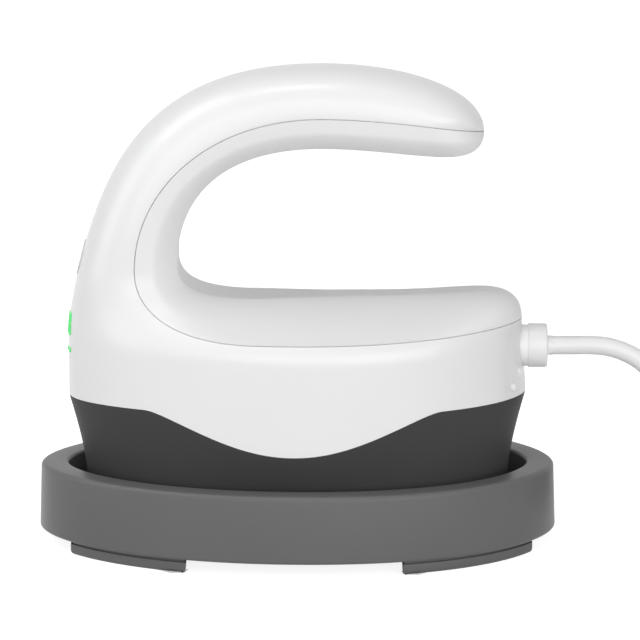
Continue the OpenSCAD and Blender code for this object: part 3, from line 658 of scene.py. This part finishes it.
def finish_with(group, name, tint, rough, scale, depth, uneven, shine=None):
    """A material whose colour, roughness and normal come from a shared group."""
    found = bpy.data.materials.get(name)
    if found:
        return found
    material = bpy.data.materials.new(name)
    material.use_nodes = True
    tree = material.node_tree
    shader = tree.nodes["Principled BSDF"].inputs
    place = node(tree, "ShaderNodeTexCoord")
    effect = node(tree, "ShaderNodeGroup", {
        "Colour": (*tint, 1), "Roughness": rough, "Pattern scale": scale, "Pattern depth": depth,
        "Unevenness": uneven}, {"Vector": place.outputs["Object"]},
        node_tree=bpy.data.node_groups[group])
    for key, socket in (("Colour", "Base Color"), ("Roughness", "Roughness"),
                        ("Normal", "Normal")):
        tree.links.new(effect.outputs[key], shader[socket])
    put(shader, shine)
    return material


def plastic(name, tint, rough, scale=900, depth=0.02, uneven=0.02, shine=None):
    return finish_with("moulded plastic", name, tint, rough, scale, depth, uneven, shine)


def metal(name, tint, rough, scale, depth, uneven):
    return finish_with("drawn metal", name, tint, rough, scale, depth, uneven, {"Metallic": 1.0})


def dress(piece, material):
    """Makes the material the only one of a piece."""
    piece.data.materials.clear()
    piece.data.materials.append(material)


def colours():
    return bpy.context.scene.press_colours


def lead_plastic():
    return plastic("soft white lead", colours().lead, 0.38, 800, 0.02, 0.02)


# --- Operators ---


class Build:
    bl_options = {"REGISTER", "UNDO"}

    def form(self):
        return Form(bpy.context.scene.press_sizes)


class PRESS_OT_stage(Build, bpy.types.Operator):
    """Camera, lamps, floor and backdrop of the studio"""

    bl_idname = "press.stage"
    bl_label = "Stage"

    def execute(self, context):
        s = context.scene.stage_settings
        aim = Vector((0.0058, 0, 0.0579))
        back = Vector((0, -math.cos(s.elevation), math.sin(s.elevation)))
        data = bpy.data.cameras.new("camera")
        data.sensor_width = 36
        data.lens = 36 * s.distance / s.view_w
        data.clip_start, data.clip_end = 0.05, 50
        camera = bpy.data.objects.new("camera", data)
        context.scene.collection.objects.link(camera)
        camera.location = aim + back * s.distance
        camera.rotation_euler = back.to_track_quat("Z", "Y").to_euler()
        context.scene.camera = camera
        for name, place, size, power in (
                ("top lamp", (-0.1, -0.3, 1.3), 0.35, 2),
                ("upper left softbox", (-0.75, -0.1, 1.15), 0.7, 4.6),
                ("front softbox", (-0.15, -1.45, 0.45), 1, 6.4),
                ("right softbox", (0.75, -1.22, 0.4), 1, 9.4),
                ("left softbox", (-1.35, -0.25, 0.4), 1, 4.6)):
            self.lamp(name, Vector(place), size, power)
        self.floor()
        self.world(context)
        context.scene.view_settings.view_transform = "Standard"
        return {"FINISHED"}

    def lamp(self, name, place, size, power):
        """A square lamp that points at the middle of the press."""
        data = bpy.data.lights.new(name, "AREA")
        data.shape, data.size, data.energy = "SQUARE", size, power
        lamp = bpy.data.objects.new(name, data)
        bpy.context.scene.collection.objects.link(lamp)
        lamp.location = place
        way = Vector((0, 0, 0.06)) - place
        lamp.rotation_euler = way.to_track_quat("-Z", "Y").to_euler()

    def shown(self, tree, lit, seen, output):
        """Shows seen to straight, mirrored and refracted rays, and lights the rest with lit."""
        paths = node(tree, "ShaderNodeLightPath").outputs
        rays = maths(tree, "MAXIMUM", paths["Is Camera Ray"], paths["Is Glossy Ray"])
        rays = maths(tree, "MAXIMUM", rays, paths["Is Transmission Ray"])
        mix = node(tree, "ShaderNodeMixShader", None, {0: rays, 1: lit.outputs[0],
                                                       2: seen.outputs[0]})
        tree.links.new(mix.outputs[0], tree.nodes[output].inputs["Surface"])

    def floor(self):
        floor = added("floor", "plane", size=12)
        material = bpy.data.materials.new("pale floor")
        material.use_nodes = True
        tree = material.node_tree
        shader = tree.nodes["Principled BSDF"]
        put(shader.inputs, {"Base Color": (*colours().floor, 1), "Roughness": 0.9,
                            "Specular IOR Level": 0})
        glow = node(tree, "ShaderNodeEmission", {"Color": (1, 1, 1, 1), "Strength": 0.85})
        both = node(tree, "ShaderNodeAddShader", None, {0: shader.outputs[0], 1: glow.outputs[0]})
        self.shown(tree, shader, both, "Material Output")
        dress(floor, material)

    def world(self, context):
        world = bpy.data.worlds.new("studio")
        context.scene.world = world
        world.use_nodes = True
        tree = world.node_tree
        lit = tree.nodes["Background"]
        put(lit.inputs, {"Color": (1, 1, 1, 1), "Strength": 0.17})
        white = node(tree, "ShaderNodeBackground", {"Color": (1, 1, 1, 1), "Strength": 1.0})
        self.shown(tree, lit, white, "World Output")


class PRESS_OT_lead(Build, bpy.types.Operator):
    """Free mains lead, from its gland over the floor into the coil and on to the plug"""

    bl_idname = "press.lead"
    bl_label = "Mains lead"

    def execute(self, context):
        f, s = self.form(), context.scene.lead_sizes
        d, reach = s.cord_d / MM, s.reach / MM
        collar = 1.6
        gland_end = f.half_l - f.gland_seat + f.gland_l + collar
        lay = d / 2 + 0.7
        # Shares of the way back and of the drop, from the gland to the floor
        shape = [(0, 0), (0.08, 0), (0.165, 0), (0.24, 0.01), (0.315, 0.041), (0.38, 0.089),
                 (0.435, 0.156), (0.477, 0.234), (0.506, 0.324), (0.545, 0.5), (0.583, 0.676),
                 (0.612, 0.766), (0.654, 0.844), (0.709, 0.911), (0.775, 0.958), (0.849, 0.99)]
        run = [(gland_end + a * reach, 0, lerp(f.gland_z, lay, b)) for a, b in shape]
        run += [(gland_end + reach - d, 0, lay), (gland_end + reach, 0, lay)]
        coil = self.coil(gland_end + reach + d, d, lay, s.turns)
        end = coil[-1]
        tail = [(end[0], end[1] - d, end[2]), (end[0], end[1] - 2 * d, end[2])]
        start = tail[-1]
        plug_z = s.plug_t / MM / 2 + 0.1
        # Ways from the tail's start and shares of its rise to the plug
        ways = [(-0.5, -5, 0.05), (-1.5, -10, 0.15), (-2.3, -15, 0.285), (-2.7, -20, 0.43),
                (-2.6, -24.5, 0.55), (-1.9, -29.6, 0.66), (0.1, -34.4, 0.755),
                (3.3, -38.5, 0.835), (7.4, -41.7, 0.905), (12.2, -43.7, 0.96)]
        tail += [(start[0] + a, start[1] + b, lerp(start[2], plug_z, c)) for a, b, c in ways]
        plug = (start[0] + 22.2, start[1] - 44.4, plug_z)
        tail += [(plug[0] - d, plug[1], plug[2]), plug]
        route = [Vector(p) * MM for p in self.fine(run) + coil + self.fine(tail)]
        curve = bpy.data.curves.new("mains_lead", "CURVE")
        curve.dimensions = "3D"
        curve.bevel_depth = s.cord_d / 2
        curve.bevel_resolution = 5
        curve.use_fill_caps = True
        spline = curve.splines.new("POLY")
        spline.points.add(len(route) - 1)
        for point, p in zip(spline.points, route):
            point.co = (*p, 1)
        spline.use_smooth = True
        lead = bpy.data.objects.new("mains_lead", curve)
        context.scene.collection.objects.link(lead)
        dress(lead, lead_plastic())
        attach(lead, "press")
        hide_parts("cord_run", "cord_coil", "cord_tail")
        return {"FINISHED"}

    def coil(self, x0, d, lay, turns):
        """Four layers that spiral in and out by turns, climbing where they turn back."""
        per_layer, pitch, steps = 2.5, d + 0.5, 48
        out = 5.5 * d + per_layer * pitch / 2
        points = []
        for k in range(int(turns * steps) + 1):
            u = k / steps
            layer, share = divmod(u / per_layer, 1)
            r = out - per_layer * pitch * (share if layer % 2 == 0 else 1 - share)
            near = math.floor(u / per_layer + 0.5)
            rise = 0 if near == 0 else near - 1 + ease((u - near * per_layer + 0.25) * 2)
            a = math.radians(360 * u - 90)
            points.append((x0 + r * math.cos(a), out + r * math.sin(a), lay + pitch * rise))
        return points

    def fine(self, points):
        """A smooth line through the given points."""
        p = [Vector(q) for q in points]
        p = [p[0] * 2 - p[1], *p, p[-1] * 2 - p[-2]]
        line = []
        for a, b, c, e in zip(p, p[1:], p[2:], p[3:]):
            for t in (0, 0.25, 0.5, 0.75):
                line.append(tuple(0.5 * (2 * b + (c - a) * t + (2 * a - 5 * b + 4 * c - e) * t * t
                                         + (3 * b - a - 3 * c + e) * t ** 3)))
        return line + [tuple(p[-2])]


class PRESS_OT_plug(Build, bpy.types.Operator):
    """Two-pin plug on the lead's end, and the tie round the coil"""

    bl_idname = "press.plug"
    bl_label = "Plug and tie"

    def execute(self, context):
        s = context.scene.lead_sizes
        low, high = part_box("plug_body")
        blade_low, blade_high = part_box("plug_blades")
        self.housing(s, low, high)
        self.pins(blade_low, blade_high)
        self.tie(*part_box("cord_tie"))
        return {"FINISHED"}

    def housing(self, s, low, high):
        relief = 10 * MM
        middle = (low + high) / 2
        start = Vector((low.x + relief, middle.y - s.plug_w / 2, middle.z - s.plug_t / 2))
        body = block("plug_housing", start, start + Vector((s.plug_l, s.plug_w, s.plug_t)))
        edit()
        bpy.ops.mesh.subdivide(number_cuts=5)
        bpy.ops.object.mode_set(mode="OBJECT")
        for p in body.data.vertices:
            t = (p.co.x - start.x) / s.plug_l
            waist = lerp(0.52, 1, ease(t / 0.55)) - 0.1 * math.exp(-((t - 0.5) / 0.12) ** 2)
            flat = lerp(0.68, 1, ease(t / 0.45))
            p.co.y = middle.y + (p.co.y - middle.y) * waist
            p.co.z = middle.z + (p.co.z - middle.z) * flat
        edged(body, 1.4, 3, 50)
        modified(body, "SUBSURF", levels=1, render_levels=1)
        rings = []
        for k in range(4):
            r = lerp(3.2, 4.1, k / 3)
            rings += [(r - 0.5, 2.7 * k), (r, 2.7 * k + 0.4), (r, 2.7 * k + 1.6),
                      (r - 0.5, 2.7 * k + 2)]
        boot = turned("boot", rings, 32)
        settled(boot, along_x(low.x / MM, middle.z / MM) @ Matrix.Translation((0, middle.y, 0)))
        housing = joined("plug_housing", [body, boot])
        dress(smooth(housing, 40), lead_plastic())
        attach(housing, "press")
        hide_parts("plug_body")

    def pins(self, low, high):
        blades = []
        half = 0.75 * MM
        for y in (low.y + half, high.y - half):
            blade = block("blade", Vector((low.x, y - half, low.z)),
                          Vector((high.x, y + half, high.z)))
            cut(blade, added("drill", "cylinder", vertices=24, radius=1.5 * MM, depth=4 * MM,
                             location=(high.x - 4 * MM, y, (low.z + high.z) / 2),
                             rotation=(math.radians(90), 0, 0)))
            blades.append(edged(blade, 0.35, 2, 60))
        pins = joined("plug_pins", blades)
        dress(smooth(pins), metal("plated brass", (0.72, 0.66, 0.5), 0.22, 500, 0.03, 0.12))
        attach(pins, "press")
        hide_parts("plug_blades")

    def tie(self, low, high):
        """A hook-and-loop band closed round the coil."""
        middle, size = (low + high) / 2, high - low
        w, h, r = size.x / 2 / MM, size.z / 2 / MM, 2.5
        outline = []
        for cx, cz, a0 in ((w - r, h - r, 0), (r - w, h - r, 90), (r - w, r - h, 180),
                           (w - r, r - h, 270)):
            for k in range(7):
                a = math.radians(a0 + 15 * k)
                outline.append((cx + r * math.cos(a), cz + r * math.sin(a)))
        n = len(outline)

        def band(u, v):
            x, z = outline[round(u * n) % n]
            return middle.x / MM + x, lerp(low.y, high.y, v) / MM, middle.z / MM + z
        tie = lattice("lead_tie", n, 6, band)
        closed(tie)
        walled(tie, 0.55)
        edged(tie, 0.15, 2, 60)
        dress(smooth(tie, 50), plastic("hook tape", (0.03, 0.03, 0.032), 0.85, 2600, 0.9, 0.05))
        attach(tie, "press")
        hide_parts("cord_tie")


class PRESS_OT_stand(Build, bpy.types.Operator):
    """Oval stand with folded rim, its four feet and the pad in its tray"""

    bl_idname = "press.stand"
    bl_label = "Stand"

    def execute(self, context):
        f, s = self.form(), context.scene.stand_sizes
        t = {key: getattr(s, key) / MM for key in StandSizes.__annotations__}
        self.half_l = f.half_l - f.skirt_taper + t["tray_gap"] + t["lean"] + t["rim_w"]
        self.half_w = f.half_w - f.skirt_taper + t["tray_gap_side"] + t["lean"] + t["rim_w"]
        z0, top, rim, wall = t["foot_h"], t["height"], t["rim_w"], t["wall"]
        inner, floor = rim + t["lean"], t["foot_h"] + t["floor_t"]
        profile = rounded([
            (30, z0, 0), (inner - wall, z0, 0.6), (rim - wall, z0 + 3, 0.8),
            (rim - wall, top - wall, 1.2), (wall, top - wall, 1.2),
            (wall - t["flare"], z0, 0.3), (-t["flare"], z0, 0.9),
            (-t["flare"] * 0.5, (z0 + top) / 2, 60), (0, top, t["rim_r"]), (rim, top, 0.9),
            (inner, floor, 1.6), (30, floor, 0)], 6)
        n = len(profile) - 1

        def place(u, v):
            inset, z = profile[round(v * n)]
            return *egg(360 * u, self.half_l, self.half_w, inset), z
        tray = closed(lattice("stand_body", 192, n, place), fill=True)
        dress(smooth(tray, 50), plastic("grey silicone", colours().stand, 0.36, 1300, 0.06,
                                       0.03, {"Specular IOR Level": 0.2}))
        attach(tray, "stand")
        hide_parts("stand_tray")
        for end, x0, x1 in (("front", -58, -28.1), ("rear", 26.6, 60.2)):
            for hand, side in (("left", -1), ("right", 1)):
                self.foot(f"foot_{end}_{hand}", x0, x1, side, z0)
        dress(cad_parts["tray_pad"], plastic("heat-proof pad", (0.035, 0.035, 0.037), 0.8,
                                                  500, 0.5, 0.05))
        return {"FINISHED"}

    def foot(self, name, x0, x1, side, height):
        """A foot that follows the wall of one side, from x0 to x1, with a recessed neck."""
        def wall_y(x, inset):
            u = min(1, abs(x) / (self.half_l - inset))
            return egg_y(u if x > 0 else -u, self.half_w - inset)

        inset, wide, nearest, corner_r, steps = 1.2, 11, 10, 1.4, 30
        xs = [lerp(x0, x1, k / steps) for k in range(steps + 1)]
        outline = [(x, max(nearest, wall_y(x, inset)), 0) for x in xs]
        outline += [(x, max(nearest, wall_y(x, inset + wide)), 0) for x in reversed(xs)]
        for k in (0, steps, steps + 1, 2 * steps + 1):
            outline[k] = (*outline[k][:2], corner_r)
        # The way round starts between two corners, so that all four of them are rounded
        start = steps + steps // 2
        around = rounded([*outline[start:], *outline[:start], outline[start]])
        ring = [Vector(p) for p in around]
        ring = [p for p, q in zip(ring, ring[1:]) if (p - q).length > 0.02]
        profile = rounded([(4, 0, 0), (0, 0, 1.1), (0, height - 0.9, 0.25),
                           (0.6, height - 0.9, 0.15), (0.6, height, 0)], 5)
        n, rows = len(ring), len(profile) - 1

        def place(u, v):
            k = round(u * n) % n
            before, at, after = ring[k - 1], ring[k], ring[(k + 1) % n]
            out = (after - before).normalized()
            inset, z = profile[round(v * rows)]
            x, y = at + Vector((out.y, -out.x)) * inset
            return x, side * y, z
        foot = closed(lattice(name + "_pad", n, rows, place), fill=True)
        # The feet are the stand's silicone; their darker colour is painted shade
        dress(smooth(foot, 40), plastic("foot silicone with painted shade", colours().feet, 0.55, 1000, 0.1, 0.03))
        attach(foot, "stand")
        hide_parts(name)


class PRESS_OT_skirt(Build, bpy.types.Operator):
    """Dark skirt whose wavy upper edge carries the shell"""

    bl_idname = "press.skirt"
    bl_label = "Skirt"

    def execute(self, context):
        f = self.form()
        z0, taper = f.skirt_z, f.skirt_taper
        wall, ledge_z = 2.6, 27.0

        def inset(z, top):
            return taper * math.sin(math.pi / 2 * max(0, (top - z) / (top - z0)))

        def rows(angle):
            top = f.wave(f.half_l * math.cos(math.radians(angle))) - 0.05
            outer = [(inset(z, top), z, 0) for z in (lerp(z0 + 1.2, top - 0.4, k / 12)
                                                      for k in range(13))]
            lip = f.wall + 0.2
            w = inset(ledge_z, top) + wall
            inside = taper + wall
            corners = ([(inside, z0 + 2, 0), (inside, z0, 0.3), (taper + 0.05, z0, 0.9)] + outer
                       + [(0.02, top, 0.25), (lip, top, 0), (lip, top + 2, 0.3),
                          (lip + 1, top + 2, 0.3), (lip + 1.2, top - 1, 0), (w, ledge_z + 0.5, 0),
                          (w + 3, ledge_z, 0), (w + 3, ledge_z - 2, 0), (inside, ledge_z - 4.5, 0),
                          (inside, z0 + 2, 0)])
            return rounded(corners, 3)

        n = len(rows(0)) - 1
        sides = 240
        table = [rows(360 * k / sides) for k in range(sides)]

        def place(u, v):
            k = round(u * sides) % sides
            across, z = table[k][round(v * n)]
            return *egg(360 * k / sides, f.half_l, f.half_w, across), z
        skirt = closed(lattice("skirt", sides, n, place))
        dress(smooth(skirt, 35), plastic("dark skirt plastic", colours().skirt, 0.55, 1200,
                                        0.04, 0.03, {"Specular IOR Level": 0.1}))
        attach(skirt, "press")
        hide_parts("base_skirt")
        return {"FINISHED"}


class PRESS_OT_shell(Build, bpy.types.Operator):
    """White outer shell: body, upright and back of the grip in one swept skin"""

    bl_idname = "press.shell"
    bl_label = "Outer shell"

    def execute(self, context):
        f = self.form()
        shell = hull("shell", f.shell_point, f.wall, f.s_nose, f.s_front)
        self.holes(shell, f)
        dress(smooth(shell, 35), plastic("white gloss plastic", colours().shell, 0.4, 700, 0.008,
                                        0.012, {"Coat Weight": 0.3, "Coat Roughness": 0.1}))
        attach(shell, "press")
        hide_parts("outer_shell")
        return {"FINISHED"}

    def holes(self, shell, f):
        """The gland's seat, the vents with their mouths, and the button's hole."""
        # Start, place across, height, radius and depth of each
        cutters = [(f.half_l - 8, 0, f.gland_z, f.gland_r - 1.5, 12),
                   (f.half_l - f.gland_seat, 0, f.gland_z, f.gland_r + 0.05, 6)]
        for count, drop in ((3, 4.3 + f.vent_r), (4, 7.5 + f.vent_r)):
            cutters += [(f.half_l - 12, (k - (count - 1) / 2) * f.vent_pitch, f.gland_z - drop,
                         f.vent_r, 14) for k in range(count)]
        for x, y, z, r, deep in cutters:
            tool = turned("tool", [(r, 0), (r, deep)], 48 if r > 2 else 24)
            settled(tool, Matrix.Translation((0, y * MM, 0)) @ along_x(x, z))
            cut(shell, tool)
            if r == f.vent_r:
                self.mouth(shell, f, y, z)
        tool = turned("tool", [(f.button_r + 0.12, -8), (f.button_r + 0.12, 4)], 64)
        settled(tool, button_place(f))
        cut(shell, tool)

    def mouth(self, shell, f, y, z):
        """A small round dish where a vent comes out."""
        x = f.rear_x(z) * egg_x(y, f.half_w, 1)
        cut(shell, added("dish", "uv_sphere", segments=32, ring_count=16, radius=1.4 * MM,
                         location=((x + 0.35) * MM, y * MM, z * MM)))


def button_place(f):
    """The button's axis, out of the front."""
    z = f.sole_z + f.button_h
    return (Matrix.Translation((f.front_x(z) * MM, 0, z * MM))
            @ Matrix.Rotation(math.radians(f.button_tilt - 90), 4, "Y"))


class PRESS_OT_liner(Build, bpy.types.Operator):
    """Satin liner: palm rest, inside of the upright and underside of the grip"""

    bl_idname = "press.liner"
    bl_label = "Grip liner"

    def execute(self, context):
        f = self.form()
        liner = hull("liner", f.liner_point, f.wall, f.s_nose)
        dress(smooth(liner, 35), plastic("satin liner plastic", colours().liner, 0.42, 1100,
                                        0.03, 0.015))
        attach(liner, "press")
        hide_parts("grip_liner")
        return {"FINISHED"}


class PRESS_OT_button(Build, bpy.types.Operator):
    """Power button with a shallow dish, its face slanted like the front"""

    bl_idname = "press.button"
    bl_label = "Power button"

    def execute(self, context):
        f = self.form()
        r, slant = f.button_r, math.tan(math.radians(6))
        button = turned("button", [(r, -2.4), (r, -0.1), (r - 0.08, 0.08), (r - 0.25, 0.19),
                                   (r - 0.6, 0.2), (r - 1.2, 0.1), (r - 2.2, 0.0), (0.9, -0.06),
                                   (0.3, -0.07)], 96)
        for point in button.data.vertices:
            if point.co.z > -MM:
                point.co.z -= slant * point.co.x
        settled(button, button_place(f))
        dress(smooth(button, 40), plastic("button plastic", (0.7, 0.7, 0.71), 0.3, 900, 0.01))
        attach(button, "button")
        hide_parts("power_button")
        return {"FINISHED"}


class PRESS_OT_display(Build, bpy.types.Operator):
    """Lit figures that shine through the front of the shell"""

    bl_idname = "press.display"
    bl_label = "Display"

    figures = {"1": "bc", "4": "bcfg", "0": "abcdef"}

    def execute(self, context):
        f = self.form()
        z0, tall, wide, step = f.sole_z + 46.9, 5.7, 2.1, 3.1
        marks = [self.tile(f, *self.bar(part, (1 - k) * step, z0, wide / 2, tall))
                 for k, figure in enumerate("140") for part in self.figures[figure]]
        marks.append(self.tile(f, -1.6, 1.6, f.sole_z + 42.6, f.sole_z + 43.2))
        marks.append(self.tile(f, -4.1, -3.2, f.sole_z + 42.4, f.sole_z + 43.6))
        figures = joined("lit_figures", marks)
        dress(figures, plastic("lit figures", (0.05, 0.35, 0.1), 0.4, 900, 0.01, shine={
            "Emission Color": (*colours().lit, 1), "Emission Strength": 0.6}))
        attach(figures, "press")
        return {"FINISHED"}

    def bar(self, part, y, z, half, tall):
        """Low and high corners of one bar of a figure, seen from the front."""
        t = 0.6
        left, right = (y + half - t, y + half), (y - half, y - half + t)
        rows = {"a": (z + tall - t, z + tall), "g": (z + tall / 2 - t / 2, z + tall / 2 + t / 2),
                "d": (z, z + t)}
        if part in rows:
            return y - half + 0.2, y + half - 0.2, *rows[part]
        upper = (z + tall / 2 + 0.15, z + tall - 0.2)
        lower = (z + 0.2, z + tall / 2 - 0.15)
        side = left if part in "fe" else right
        return (*side, *(upper if part in "bf" else lower))

    def tile(self, f, y0, y1, z0, z1):
        """A thin tile on the front, between two places across and two heights."""
        def place(u, v):
            y, z = lerp(y0, y1, u), lerp(z0, z1, v)
            return f.front_x(z) * egg_x(y, f.half_w, -1) - 0.06, y, z
        tile = lattice("tile", 6, 2, place)
        walled(closed(tile), -0.2)
        return closed(tile)


class PRESS_OT_gland(Build, bpy.types.Operator):
    """Gland at the rear that the lead comes out of"""

    bl_idname = "press.gland"
    bl_label = "Gland"

    def execute(self, context):
        f = self.form()
        d = context.scene.lead_sizes.cord_d / MM
        r, long, neck = f.gland_r, f.gland_l, f.gland_r - 1.6
        ring = f.rear_x(f.gland_z) + f.step_l - f.half_l + f.gland_seat
        gland = turned("gland", [
            (r - 0.6, -5.6), (r - 0.4, -5.4), (r - 0.4, -2.4), (neck, -2.35), (neck, 0.05),
            (r - 0.3, 0.05), (r - 0.3, ring), (r - 0.08, ring + 0.05), (r, ring + 0.2),
            (r, long - 0.6), (r - 0.1, long - 0.25), (r - 0.3, long - 0.06),
            (r - 0.6, long), (d / 2 + 0.5, long), (d / 2 + 0.2, long + 0.1),
            (d / 2 + 0.1, long + 0.3), (d / 2 + 0.1, long + 1.5), (d / 2, long + 1.6),
            (d / 2 - 0.4, long + 1.6)], 96)
        settled(gland, along_x(f.half_l - f.gland_seat, f.gland_z))
        dress(smooth(gland, 40), lead_plastic())
        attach(gland, "press")
        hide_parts("cord_gland")
        return {"FINISHED"}


class PRESS_OT_works(Build, bpy.types.Operator):
    """Finishes of the sole and of all that is inside"""

    bl_idname = "press.works"
    bl_label = "Sole and works"

    def execute(self, context):
        steel = metal("plain steel", (0.58, 0.58, 0.6), 0.3, 900, 0.05, 0.15)
        board = plastic("circuit board", (0.02, 0.12, 0.05), 0.35, 260, 0.15, 0.08)
        finishes = {
            "heat_plate": metal("coated sole", (0.5, 0.5, 0.52), 0.34, 500, 0.06, 0.12),
            "plate_gasket": plastic("black rubber", colours().rubber, 0.65, 1000, 0.12, 0.03),
            "heater_tube": metal("heater sheath", (0.3, 0.29, 0.27), 0.45, 300, 0.1, 0.4),
            "temp_sensor": steel,
            "thermal_fuse": steel,
            "heat_shield": metal("shield sheet", (0.62, 0.62, 0.64), 0.26, 1100, 0.08, 0.2),
            "insulation_pad": plastic("felt", (0.7, 0.67, 0.58), 0.95, 350, 1.0, 0.12),
            "inner_frame": plastic("frame plastic", (0.05, 0.05, 0.052), 0.5, 900, 0.1, 0.04),
            "plate_screws": steel,
            "board_screws": steel,
            "clamp_screws": steel,
            "control_board": board,
            "display_board": board,
            "relay": plastic("relay case", (0.03, 0.07, 0.3), 0.3, 900, 0.03, 0.03),
            "supply_block": plastic("supply case", (0.6, 0.45, 0.08), 0.45, 700, 0.1, 0.05),
            "filter_capacitor": plastic("sleeve", (0.02, 0.03, 0.09), 0.28, 500, 0.02, 0.03),
            "terminal_block": plastic("terminal plastic", (0.05, 0.3, 0.12), 0.4, 900, 0.05, 0.04),
            "display_module": plastic("display case", (0.75, 0.75, 0.72), 0.35, 900, 0.02, 0.02),
            "button_switch": plastic("switch case", (0.02, 0.02, 0.02), 0.4, 900, 0.05, 0.03),
            "inner_lead": lead_plastic(),
            "cord_clamp": plastic("clamp plastic", (0.06, 0.06, 0.062), 0.5, 900, 0.1, 0.04),
        }
        for name, material in finishes.items():
            dress(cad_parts[name], material)
        return {"FINISHED"}


class PRESS_PT_panel(bpy.types.Panel):
    """Steps that build the heat press"""

    bl_label = "Heat press"
    bl_space_type = "VIEW_3D"
    bl_region_type = "UI"
    bl_category = "Heat press"

    def draw(self, context):
        for step in STEPS:
            self.layout.operator(step.bl_idname)
        for name, holder in HOLDERS:
            box = self.layout.box()
            for key in holder.__annotations__:
                box.prop(getattr(context.scene, name), key)


# In the order in which they are called
STEPS = (PRESS_OT_stage, PRESS_OT_plug, PRESS_OT_lead, PRESS_OT_stand, PRESS_OT_skirt,
         PRESS_OT_shell, PRESS_OT_liner, PRESS_OT_button, PRESS_OT_display, PRESS_OT_gland,
         PRESS_OT_works)
HOLDERS = (("press_sizes", PressSizes), ("stand_sizes", StandSizes), ("lead_sizes", LeadSizes),
           ("press_colours", PressColours), ("stage_settings", StageSettings))


def register():
    for name, holder in HOLDERS:
        bpy.utils.register_class(holder)
        setattr(bpy.types.Scene, name, PointerProperty(type=holder))
    for step in (*STEPS, PRESS_PT_panel):
        bpy.utils.register_class(step)


def unregister():
    for step in reversed((*STEPS, PRESS_PT_panel)):
        bpy.utils.unregister_class(step)
    for name, holder in reversed(HOLDERS):
        delattr(bpy.types.Scene, name)
        bpy.utils.unregister_class(holder)


def main():
    register()
    surface_groups()
    for step in STEPS:
        getattr(bpy.ops.press, step.bl_idname.partition(".")[2])()
    deselect()


if __name__ == "__main__":
    main()
